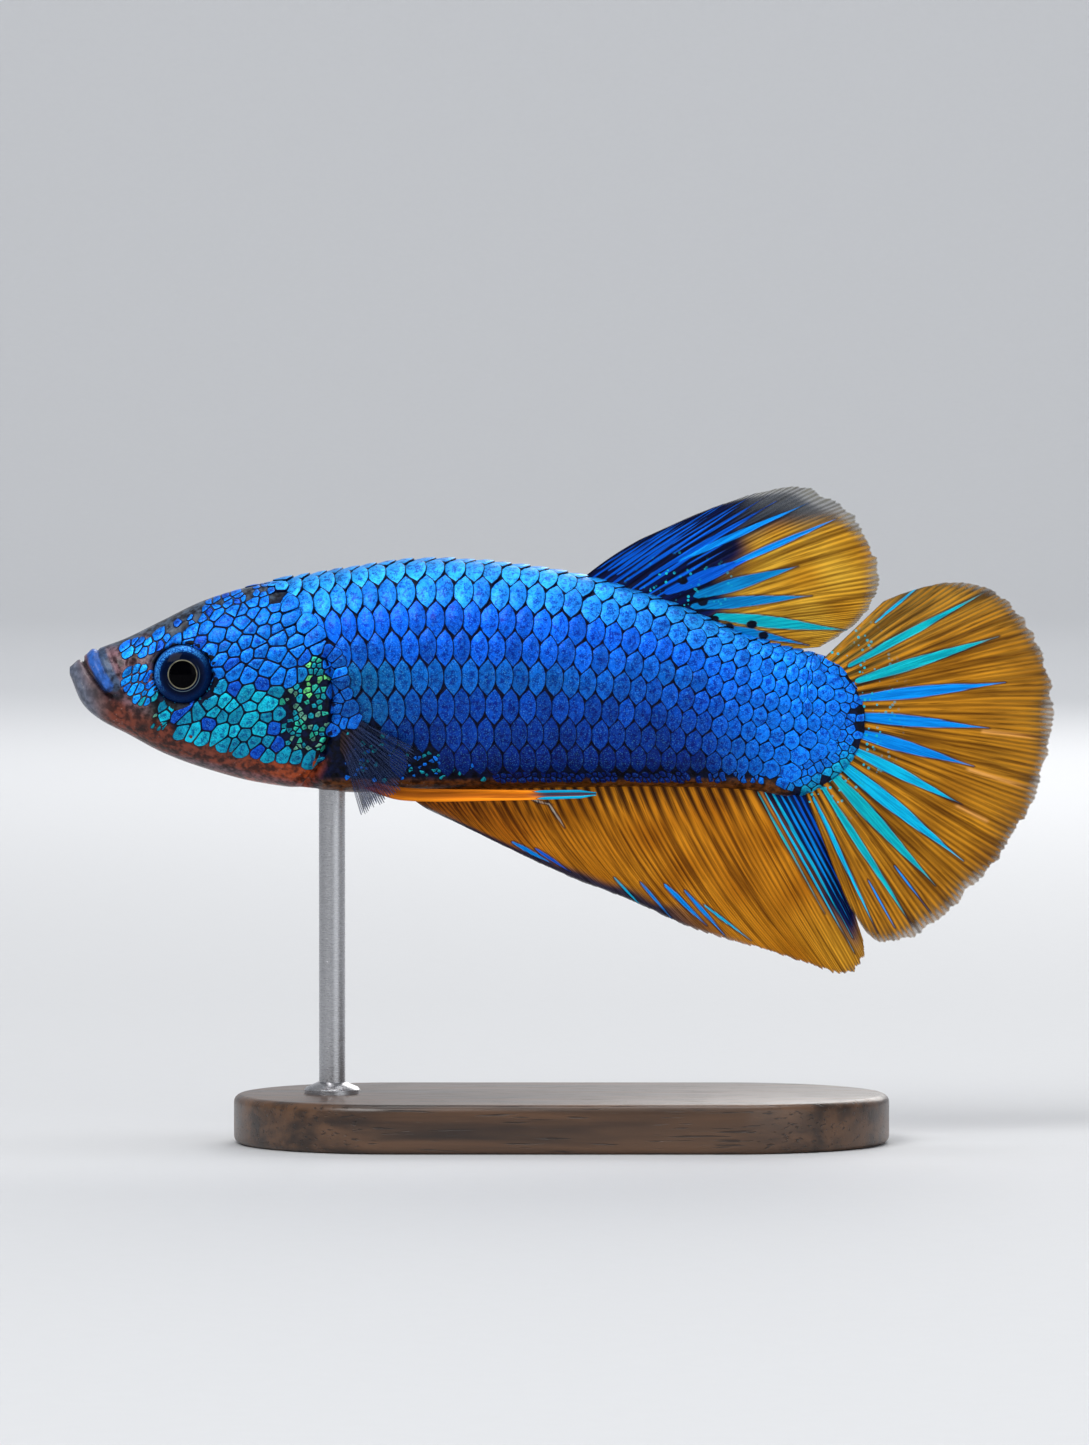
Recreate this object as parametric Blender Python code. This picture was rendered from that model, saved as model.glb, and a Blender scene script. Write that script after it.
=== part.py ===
"""A male betta fish, life size, as a still display model on a plain stand.

The fish swims level, with its head towards -X, its tail towards +X, its left side towards -Y and
its back up.  The origin is the middle of the stand's underside.  Each sub-part is one closed solid,
and neighbouring solids keep a small gap.  Lengths are metres; the tables below are in millimetres.
"""
import math

import bmesh
import bpy
from mathutils import Matrix, Vector

MM = 0.001
GAP = 0.3 * MM

# Body, nose to tail root: place along X, height of the back, height of the belly, half the width.
BODY_SECTIONS = (
    (-30.0, 29.05, 28.55, 0.35),
    (-29.3, 29.65, 26.90, 1.15),
    (-28.2, 30.20, 25.85, 1.65),
    (-26.5, 30.85, 24.95, 2.10),
    (-24.3, 31.93, 23.78, 2.55),
    (-21.8, 33.13, 22.85, 2.95),
    (-18.5, 34.10, 21.98, 3.35),
    (-13.5, 35.07, 21.40, 3.72),
    (-8.0, 35.70, 21.40, 3.85),
    (-3.0, 35.38, 21.58, 3.70),
    (1.5, 34.62, 21.68, 3.30),
    (6.5, 33.10, 21.70, 2.55),
    (11.5, 30.95, 21.50, 1.75),
    (14.6, 30.10, 21.10, 1.25),
    (16.6, 29.55, 22.10, 0.85),
    (17.9, 28.25, 23.40, 0.55),
    (18.6, 26.55, 25.00, 0.30),
)
RINGS_PER_SECTION = 3
RING_SIDES = 28
FULLNESS = 0.85

# Where the body is parted.
GILL_CENTRE = (-22.5, 27.0)
GILL_REAR_RADIUS = 8.3
HEAD_REAR_ANGLES = (-60, 66)
HEAD_REAR_TOP_X = -19.4
GILL_FRONT_RADIUS = 4.0
GILL_ANGLES = (-30.0, 38.0)
GILL_INNER_WIDTH = 1.7
MOUTH_CORNER = (-26.6, 27.0)
JAW_OUTLINE = ((-31.5, 31.55), MOUTH_CORNER, (-25.5, 23.0), (-31.5, 23.0))
JAW_GAP_SHIFT = (0.27, 0.20)
TAIL_STALK_START = 11.0
REGION_HALF_WIDTH = 5.0
REGION_TOP = 37.0
REGION_BOTTOM = 19.6
REGION_FRONT = -31.5
REGION_REAR = 20.0

# Eyes.
EYE_PLACE = (-23.0, 2.28, 28.67)
EYE_RADII = (1.80, 0.95, 1.80)
EYE_GAP = 0.2

# Fins: the root line and the free margin, each as (share along the fin, x, z).
FIN_THICKNESS = 0.55 * MM
DORSAL_ROOT = ((0.0, 1.0, 34.2), (0.5, 5.9, 32.6), (1.0, 11.4, 30.0))
DORSAL_BEND = -0.03
DORSAL_WAVE = 0.35
DORSAL_MARGIN = (
    (0.00, 5.0, 36.9), (0.12, 9.8, 39.0), (0.26, 14.2, 40.1), (0.36, 16.6, 39.4), (0.475, 18.3, 37.9),
    (0.56, 19.3, 35.9), (0.66, 19.4, 33.7), (0.78, 18.3, 31.9), (1.00, 15.9, 30.65),
)
ANAL_ROOT = ((0.0, -10.2, 22.3), (1.0, 13.9, 22.0))
ANAL_BEND = 0.07
ANAL_REAR_BEND = 0.10
ANAL_SWAY = 0.45
ANAL_REAR_SWAY = 0.15
ANAL_WAVE = 0.3
ANAL_MARGIN = (
    (0.00, -8.1, 20.35), (0.25, -0.1, 16.45), (0.40, 4.8, 14.5), (0.49, 7.8, 13.1), (0.63, 11.6, 11.9),
    (0.755, 15.3, 10.7), (0.857, 17.3, 10.05), (0.907, 18.3, 10.65), (0.955, 18.55, 11.75),
    (1.00, 18.05, 13.1),
)
CAUDAL_CENTRE = (12.78, 26.53)
CAUDAL_ROOT_RADIUS = 4.6
CAUDAL_SWAY = 0.9
CAUDAL_WAVE = 0.35
CAUDAL_MARGIN = (
    (0.00, -68.5, 13.0), (0.03, -66.5, 15.3), (0.10, -60.0, 16.5), (0.24, -43.0, 16.6), (0.45, -18.0, 17.1),
    (0.62, 0.0, 17.35), (0.76, 15.5, 16.8), (0.88, 28.0, 15.3), (0.95, 35.0, 12.9), (1.00, 41.0, 9.6),
)
PECTORAL_ROOT = (-13.3, 3.3, 25.3)
PECTORAL_ROOT_HALF_HEIGHT = 1.2
PECTORAL_ANGLES = (-74.0, -26.0)
PECTORAL_LENGTHS = (4.4, 5.6)
PECTORAL_FLARE = 0.42
PELVIC_SIDE = 1.72
PELVIC_UPPER = ((0.0, -12.1, 22.3), (0.2, -10.0, 21.75), (0.6, -4.0, 21.55), (1.0, 2.1, 21.5))
PELVIC_LOWER = ((0.0, -12.1, 21.4), (0.2, -9.6, 20.85), (0.6, -3.6, 20.75), (1.0, 2.1, 20.95))

# Stand.
BASE_LENGTH = 40.0 * MM
BASE_WIDTH = 20.0 * MM
BASE_HEIGHT = 3.0 * MM
BASE_EDGE = 0.5 * MM
ROD_X = -14.0 * MM
ROD_RADIUS = 0.8 * MM
ROD_FOOT = 1.2 * MM
ROD_TOP = 23.1 * MM
ROD_SIDES = 24

SCALE_BLUE = (0.02, 0.13, 0.75)
CHEEK_TEAL = (0.03, 0.35, 0.45)
THROAT_RUST = (0.35, 0.09, 0.04)
FIN_AMBER = (0.80, 0.36, 0.03)
FIN_SMOKE = (0.16, 0.15, 0.17)
EYE_BLACK = (0.01, 0.01, 0.02)
WALNUT = (0.12, 0.06, 0.03)
STEEL = (0.60, 0.60, 0.62)


def clear_scene():
    """Remove every object of the start-up scene."""
    for thing in list(bpy.data.objects):
        bpy.data.objects.remove(thing)


def finish_of(name, colour, roughness, metallic=0.0):
    """Make a Principled material."""
    material = bpy.data.materials.new(name)
    material.use_nodes = True
    shader = material.node_tree.nodes["Principled BSDF"]
    shader.inputs["Base Color"].default_value = (*colour, 1.0)
    shader.inputs["Roughness"].default_value = roughness
    shader.inputs["Metallic"].default_value = metallic
    return material


def spline(knots, place, value=1):
    """Read the smooth curve through knots at a place; a knot is (place, value, value, ...)."""
    last = len(knots) - 2
    here = max(i for i in range(last + 1) if i == 0 or knots[i][0] <= place)
    before, after = knots[here], knots[here + 1]
    span = after[0] - before[0]

    def slope(index):
        low = knots[max(index - 1, 0)]
        high = knots[min(index + 1, last + 1)]
        return (high[value] - low[value]) / (high[0] - low[0])

    share = min(max((place - before[0]) / span, 0.0), 1.0)
    square = share * share
    cube = square * share
    return (
        (2 * cube - 3 * square + 1) * before[value]
        + (cube - 2 * square + share) * span * slope(here)
        + (3 * square - 2 * cube) * after[value]
        + (cube - square) * span * slope(here + 1)
    )


def arc(centre, radius, start, end, steps):
    """Points of an arc in the side view, angles in degrees."""
    angles = [math.radians(start + (end - start) * i / steps) for i in range(steps + 1)]
    return [(centre[0] + radius * math.cos(a), centre[1] + radius * math.sin(a)) for a in angles]


def section_point(x, angle):
    """Point of the body's surface at x, with angle 0 on the back and pi on the belly."""
    back = spline(BODY_SECTIONS, x, 1)
    belly = spline(BODY_SECTIONS, x, 2)
    half_width = spline(BODY_SECTIONS, x, 3)
    side = math.sin(angle)
    y = half_width * math.copysign(abs(side) ** FULLNESS, side)
    z = (back + belly) / 2 + (back - belly) / 2 * math.cos(angle)
    return Vector((x, y, z)) * MM


def ring_places():
    """Places along X of the body's rings."""
    places = []
    for front, rear in zip(BODY_SECTIONS, BODY_SECTIONS[1:]):
        steps = [front[0] + (rear[0] - front[0]) * i / RINGS_PER_SECTION for i in range(RINGS_PER_SECTION)]
        places.extend(steps)
    return places + [BODY_SECTIONS[-1][0]]


def new_object(name, bm, material=None):
    """Turn a bmesh into a linked object with outward faces."""
    bmesh.ops.recalc_face_normals(bm, faces=bm.faces)
    mesh = bpy.data.meshes.new(name)
    bm.to_mesh(mesh)
    bm.free()
    thing = bpy.data.objects.new(name, mesh)
    bpy.context.scene.collection.objects.link(thing)
    if material:
        mesh.materials.append(material)
        mesh.shade_smooth()
        mesh.set_sharp_from_angle(angle=math.radians(40))
    return thing


def as_cutter(thing):
    """Mark an object as a guide that is no sub-part."""
    thing.hide_render = True
    thing.display_type = "WIRE"
    return thing


def body(name, material=None, grow=0.0):
    """Loft the whole body ring by ring, nose to tail root."""
    bm = bmesh.new()
    angle = bm.verts.layers.float.new("angle")
    places = ring_places()
    bmesh.ops.create_circle(bm, cap_ends=True, segments=RING_SIDES, radius=1.0)
    ring = list(bm.verts)
    for index, vert in enumerate(ring):
        vert[angle] = 2 * math.pi * index / RING_SIDES
        vert.co = section_point(places[0], vert[angle])
    edges = list(bm.edges)
    for x in places[1:]:
        made = bmesh.ops.extrude_edge_only(bm, edges=edges)["geom"]
        for vert in (part for part in made if isinstance(part, bmesh.types.BMVert)):
            vert.co = section_point(x, vert[angle])
        edges = [part for part in made if isinstance(part, bmesh.types.BMEdge)]
        edges = [edge for edge in edges if edge.is_boundary]
    bmesh.ops.edgeloop_fill(bm, edges=edges)
    bmesh.ops.recalc_face_normals(bm, faces=bm.faces)
    if grow:
        bm.normal_update()
        for vert in bm.verts:
            vert.co += vert.normal * grow
    return new_object(name, bm, material)


def prism(name, outline, low=-REGION_HALF_WIDTH, high=REGION_HALF_WIDTH):
    """Cutter with the given side outline in millimetres, from y = low to y = high."""
    bm = bmesh.new()
    verts = [bm.verts.new((x * MM, low * MM, z * MM)) for x, z in outline]
    face = bm.faces.new(verts)
    made = bmesh.ops.extrude_face_region(bm, geom=[face])["geom"]
    moved = [part for part in made if isinstance(part, bmesh.types.BMVert)]
    bmesh.ops.translate(bm, verts=moved, vec=(0, (high - low) * MM, 0))
    return as_cutter(new_object(name, bm))


def ellipsoid(name, centre, radii, material=None, segments=20, rings=12):
    """Ellipsoid with its poles on Y; sizes in millimetres."""
    bm = bmesh.new()
    turn = Matrix.Rotation(math.pi / 2, 4, "X")
    size = Matrix.Diagonal((*radii, 1.0 / MM)) * MM
    place = Matrix.Translation(Vector(centre) * MM)
    bmesh.ops.create_uvsphere(bm, u_segments=segments, v_segments=rings, radius=1.0,
                              matrix=place @ size @ turn)
    return new_object(name, bm, material)


def rod(name, x, radius, low, high, material=None):
    """Upright round rod."""
    bm = bmesh.new()
    place = Matrix.Translation((x, 0, (low + high) / 2))
    bmesh.ops.create_cone(bm, cap_ends=True, segments=ROD_SIDES, radius1=radius, radius2=radius,
                          depth=high - low, matrix=place)
    return new_object(name, bm, material)


def boolean(thing, cutter, operation="DIFFERENCE"):
    """Add an exact Boolean modifier."""
    modifier = thing.modifiers.new(cutter.name, "BOOLEAN")
    modifier.operation = operation
    modifier.solver = "EXACT"
    modifier.object = cutter


def head_region(name, grow=0.0):
    """Everything ahead of the gill cover's curved rear edge."""
    edge = arc(GILL_CENTRE, GILL_REAR_RADIUS + grow, *HEAD_REAR_ANGLES, 24)
    front = [(REGION_FRONT, REGION_TOP), (REGION_FRONT, REGION_BOTTOM)]
    return prism(name, edge + [(HEAD_REAR_TOP_X + grow, REGION_TOP)] + front)


def jaw_region(name, shift=(0.0, 0.0)):
    """The lower jaw's wedge in front of the mouth corner and under the cleft."""
    return prism(name, [(x + shift[0], z + shift[1]) for x, z in JAW_OUTLINE])


def gill_region(name, side, grow=0.0):
    """One gill cover: a ring sector seen from the side, from its inner face outwards."""
    turn = math.degrees(grow / GILL_REAR_RADIUS)
    outer = arc(GILL_CENTRE, GILL_REAR_RADIUS + grow, GILL_ANGLES[0] - turn, GILL_ANGLES[1] + turn, 20)
    inner = arc(GILL_CENTRE, GILL_FRONT_RADIUS - grow, GILL_ANGLES[1] + turn, GILL_ANGLES[0] - turn, 12)
    faces = sorted((side * (GILL_INNER_WIDTH - grow), side * REGION_HALF_WIDTH))
    return prism(name, outer + inner, *faces)


def slab(name, start, end):
    """Everything between two places along X."""
    outline = ((start, REGION_BOTTOM), (end, REGION_BOTTOM), (end, REGION_TOP), (start, REGION_TOP))
    return prism(name, outline)


def fin(name, material, surface, columns, rows):
    """Closed sheet over surface(along, out), both from 0 to 1, which gives millimetres."""
    bm = bmesh.new()
    bmesh.ops.create_grid(bm, x_segments=columns, y_segments=rows, size=0.5)
    for vert in bm.verts:
        vert.co = Vector(surface(vert.co.x + 0.5, vert.co.y + 0.5)) * MM
    thing = new_object(name, bm, material)
    wall = thing.modifiers.new("Thickness", "SOLIDIFY")
    wall.thickness = FIN_THICKNESS
    wall.offset = 0.0
    wall.use_even_offset = True
    return thing


def bent_ray(root, tip, out, bend):
    """Point on a ray from root to tip that bows sideways by bend times its length."""
    across = (tip[1] - root[1], root[0] - tip[0])
    bow = 4 * out * (1 - out) * bend
    x = root[0] + (tip[0] - root[0]) * out + across[0] * bow
    z = root[1] + (tip[1] - root[1]) * out + across[1] * bow
    return x, z


def dorsal_surface(along, out):
    """Dorsal fin: rays lean back from the ridge of the back."""
    root = (spline(DORSAL_ROOT, along, 1), spline(DORSAL_ROOT, along, 2))
    tip = (spline(DORSAL_MARGIN, along, 1), spline(DORSAL_MARGIN, along, 2))
    x, z = bent_ray(root, tip, out, DORSAL_BEND * (1 - along))
    return x, DORSAL_WAVE * out * math.sin(2.6 * math.pi * along), z


def anal_surface(along, out):
    """Anal fin: long root under the belly, rays bowing back to a drooping point."""
    root = (spline(ANAL_ROOT, along, 1), spline(ANAL_ROOT, along, 2))
    tip = (spline(ANAL_MARGIN, along, 1), spline(ANAL_MARGIN, along, 2))
    x, z = bent_ray(root, tip, out, ANAL_BEND - ANAL_REAR_BEND * along**5)
    sway = ANAL_SWAY * along + ANAL_REAR_SWAY * along**5 + ANAL_WAVE * math.sin(3 * math.pi * along)
    return x, out * sway, z


def caudal_surface(along, out):
    """Tail fin: a round fan about a point inside the tail stalk."""
    angle = math.radians(spline(CAUDAL_MARGIN, along, 1))
    reach = spline(CAUDAL_MARGIN, along, 2)
    radius = CAUDAL_ROOT_RADIUS + (reach - CAUDAL_ROOT_RADIUS) * out
    sway = -CAUDAL_SWAY * (1 - along) ** 2 + CAUDAL_WAVE * math.sin(2.5 * math.pi * along)
    x = CAUDAL_CENTRE[0] + radius * math.cos(angle)
    z = CAUDAL_CENTRE[1] + radius * math.sin(angle)
    return x, out * sway, z


def pectoral_surface(side):
    """Pectoral fin: a fan swept back and down that flares from the flank."""
    def surface(along, out):
        angle = math.radians(PECTORAL_ANGLES[0] + (PECTORAL_ANGLES[1] - PECTORAL_ANGLES[0]) * along)
        length = PECTORAL_LENGTHS[0] + (PECTORAL_LENGTHS[1] - PECTORAL_LENGTHS[0]) * math.sin(1.9 * along)
        reach = out * length
        x = PECTORAL_ROOT[0] + reach * math.cos(angle)
        z = PECTORAL_ROOT[2] + PECTORAL_ROOT_HALF_HEIGHT * (2 * along - 1) + reach * math.sin(angle)
        flare = PECTORAL_FLARE * reach * (1 - 0.35 * out)
        return x, side * (PECTORAL_ROOT[1] + flare), z
    return surface


def pelvic_surface(side):
    """Pelvic fin: a long narrow blade laid back under the belly."""
    def surface(along, out):
        upper = (spline(PELVIC_UPPER, along, 1), spline(PELVIC_UPPER, along, 2))
        lower = (spline(PELVIC_LOWER, along, 1), spline(PELVIC_LOWER, along, 2))
        x = upper[0] + (lower[0] - upper[0]) * out
        z = upper[1] + (lower[1] - upper[1]) * out
        return x, side * PELVIC_SIDE, z
    return surface


def make_body_parts(clearance_sockets):
    """Part the body into head, lower jaw, gill covers, trunk and tail stalk."""
    blue = finish_of("scales_blue", SCALE_BLUE, 0.35, 0.3)
    teal = finish_of("scales_teal", CHEEK_TEAL, 0.35, 0.3)
    rust = finish_of("skin_rust", THROAT_RUST, 0.5)
    grow = GAP / MM
    jaw = body("lower_jaw", rust)
    boolean(jaw, jaw_region("jaw_region"), "INTERSECT")
    head = body("head", teal)
    boolean(head, head_region("head_region"), "INTERSECT")
    boolean(head, jaw_region("jaw_clearance", JAW_GAP_SHIFT))
    for side, side_name in ((-1, "left"), (1, "right")):
        cover = body("gill_cover_" + side_name, teal)
        boolean(cover, gill_region("gill_region_" + side_name, side), "INTERSECT")
        boolean(head, gill_region("gill_clearance_" + side_name, side, grow))
        boolean(head, clearance_sockets[side])
    trunk = body("trunk", blue)
    boolean(trunk, slab("trunk_region", REGION_FRONT, TAIL_STALK_START), "INTERSECT")
    boolean(trunk, head_region("head_clearance", grow))
    stalk = body("tail_stalk", blue)
    boolean(stalk, slab("stalk_region", TAIL_STALK_START + grow, REGION_REAR), "INTERSECT")
    return trunk


def make_eyes():
    """Two eyes, and the sockets that clear them, by side."""
    black = finish_of("eye_black", EYE_BLACK, 0.05)
    sockets = {}
    for side, side_name in ((-1, "left"), (1, "right")):
        centre = (EYE_PLACE[0], side * EYE_PLACE[1], EYE_PLACE[2])
        ellipsoid("eye_" + side_name, centre, EYE_RADII, black)
        wide = tuple(radius + EYE_GAP for radius in EYE_RADII)
        sockets[side] = as_cutter(ellipsoid("eye_socket_" + side_name, centre, wide))
    return sockets


def make_fins():
    """All fins, each cut clear of the body."""
    amber = finish_of("fin_amber", FIN_AMBER, 0.4)
    smoke = finish_of("fin_smoke", FIN_SMOKE, 0.4)
    clearance = as_cutter(body("body_clearance", grow=GAP))
    fins = [
        fin("dorsal_fin", amber, dorsal_surface, 28, 6),
        fin("anal_fin", amber, anal_surface, 36, 5),
        fin("caudal_fin", amber, caudal_surface, 36, 5),
    ]
    for side, side_name in ((-1, "left"), (1, "right")):
        fins.append(fin("pectoral_fin_" + side_name, smoke, pectoral_surface(side), 12, 4))
        fins.append(fin("pelvic_fin_" + side_name, amber, pelvic_surface(side), 16, 2))
    for thing in fins:
        boolean(thing, clearance)


def make_stand(trunk):
    """A flat oval base and one rod that enters the chest."""
    wood = finish_of("walnut", WALNUT, 0.4)
    steel = finish_of("steel", STEEL, 0.3, 1.0)
    end = (BASE_LENGTH - BASE_WIDTH) / 2 / MM
    radius = BASE_WIDTH / 2 / MM
    outline = arc((end, 0), radius, -90, 90, 20) + arc((-end, 0), radius, 90, 270, 20)
    bm = bmesh.new()
    face = bm.faces.new([bm.verts.new((x * MM, y * MM, 0)) for x, y in outline])
    made = bmesh.ops.extrude_face_region(bm, geom=[face])["geom"]
    top = [part for part in made if isinstance(part, bmesh.types.BMVert)]
    bmesh.ops.translate(bm, verts=top, vec=(0, 0, BASE_HEIGHT))
    base = new_object("stand_base", bm, wood)
    edge = base.modifiers.new("Edge", "BEVEL")
    edge.width = BASE_EDGE
    edge.segments = 2
    edge.limit_method = "ANGLE"
    rod("stand_rod", ROD_X, ROD_RADIUS, ROD_FOOT, ROD_TOP, steel)
    bore = as_cutter(rod("rod_bore", ROD_X, ROD_RADIUS + GAP, ROD_FOOT - GAP, ROD_TOP + GAP))
    boolean(base, bore)
    boolean(trunk, bore)


def main():
    """Build the model."""
    clear_scene()
    sockets = make_eyes()
    trunk = make_body_parts(sockets)
    make_fins()
    make_stand(trunk)


main()
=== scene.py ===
"""Looks of the betta fish display model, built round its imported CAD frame.

The fish swims level with its head towards -X, its left side towards -Y and its back up.  Shapes are
worked out in millimetres and turned into metres when a mesh is written.
"""

import logging
import math
import random
from dataclasses import dataclass
from enum import Enum
from typing import Callable, Iterable, Sequence

import bmesh
import bpy
import numpy as np
from mathutils import Matrix, Vector, kdtree


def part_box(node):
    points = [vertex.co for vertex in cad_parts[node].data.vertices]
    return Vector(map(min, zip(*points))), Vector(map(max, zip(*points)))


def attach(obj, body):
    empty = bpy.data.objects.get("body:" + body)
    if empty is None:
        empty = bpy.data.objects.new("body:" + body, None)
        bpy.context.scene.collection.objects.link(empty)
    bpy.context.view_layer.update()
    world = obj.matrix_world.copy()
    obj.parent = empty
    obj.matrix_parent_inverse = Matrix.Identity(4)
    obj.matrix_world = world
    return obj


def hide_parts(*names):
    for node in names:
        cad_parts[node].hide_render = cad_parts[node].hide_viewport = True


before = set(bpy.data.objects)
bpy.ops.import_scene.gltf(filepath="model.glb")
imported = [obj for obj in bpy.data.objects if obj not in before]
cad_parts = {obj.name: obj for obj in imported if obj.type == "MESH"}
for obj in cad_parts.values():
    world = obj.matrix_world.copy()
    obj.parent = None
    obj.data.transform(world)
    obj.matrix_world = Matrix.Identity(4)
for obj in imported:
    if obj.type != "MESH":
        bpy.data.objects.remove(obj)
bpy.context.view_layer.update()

MM = 0.001
ROOT = "root"
LOG = logging.getLogger("betta")

Array = np.ndarray
Knots = Sequence[Sequence[float]]
Pair = tuple[float, float]
Point = tuple[float, float, float]
Colour = tuple[float, float, float]
Material = bpy.types.Material
Socket = bpy.types.NodeSocket
Piece = bpy.types.Object
BMesh, BMFace, BMVert = bmesh.types.BMesh, bmesh.types.BMFace, bmesh.types.BMVert

CYAN: Colour = (0.005, 0.58, 0.92)
AZURE: Colour = (0.003, 0.33, 1.0)
TURQUOISE: Colour = (0.006, 0.56, 0.64)
OCEAN: Colour = (0.004, 0.27, 0.66)
COBALT: Colour = (0.002, 0.13, 0.76)
PEACH: Colour = (0.9, 0.42, 0.1)


class Side(Enum):
    """The two flanks of the fish; the value is the sign of Y."""

    LEFT = -1
    RIGHT = 1

    @property
    def label(self) -> str:
        """Name used in piece names."""
        return self.name.lower()


# ---- Curves and small maths ----


def smooth_curve(knots: Knots, places: Array | float, value: int = 1) -> Array:
    """Read the smooth curve through knots.

    Args:
        knots: rows of (place, value, value, ...), by rising place.
        places: where to read it.
        value: which column of the rows to read.

    Returns:
        The curve's values at the places.
    """
    table = np.array(knots, float)
    x, y = table[:, 0], table[:, value]
    slope = np.empty(len(x))
    slope[1:-1] = (y[2:] - y[:-2]) / (x[2:] - x[:-2])
    slope[0] = (y[1] - y[0]) / (x[1] - x[0])
    slope[-1] = (y[-1] - y[-2]) / (x[-1] - x[-2])
    place = np.clip(np.asarray(places, float), x[0], x[-1])
    low = np.clip(np.searchsorted(x, place, "right") - 1, 0, len(x) - 2)
    span = x[low + 1] - x[low]
    t = (place - x[low]) / span
    square, cube = t * t, t * t * t
    return (
        (2 * cube - 3 * square + 1) * y[low]
        + (cube - 2 * square + t) * span * slope[low]
        + (3 * square - 2 * cube) * y[low + 1]
        + (cube - square) * span * slope[low + 1]
    )


def smooth_points(knots: Knots, places: Array) -> Array:
    """Read the smooth side-view curve through (place, x, z) knots; x and z are on the last axis."""
    return np.stack([smooth_curve(knots, places, 1), smooth_curve(knots, places, 2)], axis=-1)


def straight_curve(knots: Knots, places: Array | float) -> Array:
    """Read the polyline through (place, value) knots."""
    table = np.array(knots, float)
    return np.interp(places, table[:, 0], table[:, 1])


def line_at(knots: Knots, place: float) -> float:
    """Read the polyline at a single place."""
    return float(straight_curve(knots, place))


def step(low: float, high: float, value: Array | float) -> Array:
    """Smooth step from 0 at low to 1 at high; low may be the larger one."""
    t = np.clip((np.asarray(value, float) - low) / (high - low), 0.0, 1.0)
    return t * t * (3 - 2 * t)


def bell(distance: Array, width: float) -> Array:
    """Bell of height 1 that falls to 0.37 at the given width."""
    return np.exp(-((distance / width) ** 2))


def blotch(x: Array, z: Array, centre: Sequence[float], radii: Sequence[float]) -> Array:
    """Soft oval spot of the side view, 1 at its centre."""
    return bell(np.hypot((x - centre[0]) / radii[0], (z - centre[1]) / radii[1]), 1.0)


def distance_to_line(x: Array, z: Array, line: Knots) -> Array:
    """Distance in the side view from points to a polyline.

    Args:
        x: points along the fish.
        z: heights of the points.
        line: the polyline's (x, z) points.

    Returns:
        The distances.
    """
    best = np.full(np.shape(x), 1e9)
    for (x0, z0), (x1, z1) in zip(line, line[1:]):
        dx, dz = x1 - x0, z1 - z0
        t = np.clip(((x - x0) * dx + (z - z0) * dz) / (dx * dx + dz * dz), 0, 1)
        best = np.minimum(best, np.hypot(x - x0 - t * dx, z - z0 - t * dz))
    return best


def wobble(x: Array, z: Array, size: float, phase: float = 0.0) -> Array:
    """Uneven smooth value.

    Args:
        x: places along the fish.
        z: heights.
        size: size of its features.
        phase: which pattern.

    Returns:
        Values between about -1 and 1.
    """
    a, b = x / size, z / size
    first = np.sin(a * 2.1 + 1.7 * np.sin(b * 1.3 + phase) + phase)
    return (first + np.sin(b * 2.3 + 1.9 * np.sin(a * 1.1 - phase) + 2.0 * phase)) / 2


def mixed(share: Array, first: object, second: object) -> Array:
    """Mix two colours, each one colour or an array of them; share 0 gives the first."""
    return np.asarray(first) * (1 - share[..., None]) + np.asarray(second) * share[..., None]


def laid_on(base: object, layers: Iterable[tuple[Array, object]]) -> Array:
    """Lay colours on a base one after another.

    Args:
        base: the colour or colours under all layers.
        layers: each one's share of cover and its colour.

    Returns:
        The colours.
    """
    for share, paint in layers:
        base = mixed(share, base, paint)
    return base


def mixed_share(share: Array, first: Array, second: Array) -> Array:
    """Mix two arrays of numbers; share 0 gives the first."""
    return first * (1 - share) + second * share


# ---- Shader building ----


def math_operator(operation: str, reflected: bool = False) -> Callable[..., "Value"]:
    """Make an operator of Value that adds a Math node.

    Args:
        operation: the node's operation.
        reflected: whether the value itself is the second operand.

    Returns:
        The operator, as a method.
    """

    def operator(self: "Value", other: object = 0.0) -> "Value":
        """Apply the operation to the value and another operand.

        Args:
            other: a value or a number; one-sided operations leave it out.

        Returns:
            The Math node's output.
        """
        first, second = (other, self) if reflected else (self, other)
        node = self.shader.node("ShaderNodeMath", {"operation": operation}, {0: first, 1: second})
        return Value(self.shader, node.outputs[0])

    return operator


class Value:
    """A float socket with arithmetic, each use of which adds a Math node."""

    def __init__(self, shader: "Shader", socket: Socket) -> None:
        """Wrap a socket of a shader."""
        self.shader = shader
        self.socket = socket

    __add__, __radd__ = math_operator("ADD"), math_operator("ADD", reflected=True)
    __sub__, __rsub__ = math_operator("SUBTRACT"), math_operator("SUBTRACT", reflected=True)
    __mul__, __rmul__ = math_operator("MULTIPLY"), math_operator("MULTIPLY", reflected=True)
    __truediv__ = math_operator("DIVIDE")
    least, most = math_operator("MINIMUM"), math_operator("MAXIMUM")
    fraction, size, root = math_operator("FRACT"), math_operator("ABSOLUTE"), math_operator("SQRT")

    def step(self, low: float, high: float, start: float = 0.0, end: float = 1.0) -> "Value":
        """Smooth step.

        Args:
            low: value where the step starts.
            high: value where the step ends.
            start: result at low and before.
            end: result at high and past it.

        Returns:
            The stepped value.
        """
        node = self.shader.node(
            "ShaderNodeMapRange",
            {"interpolation_type": "SMOOTHSTEP"},
            {0: self, 1: low, 2: high, 3: start, 4: end},
        )
        return Value(self.shader, node.outputs[0])


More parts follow.
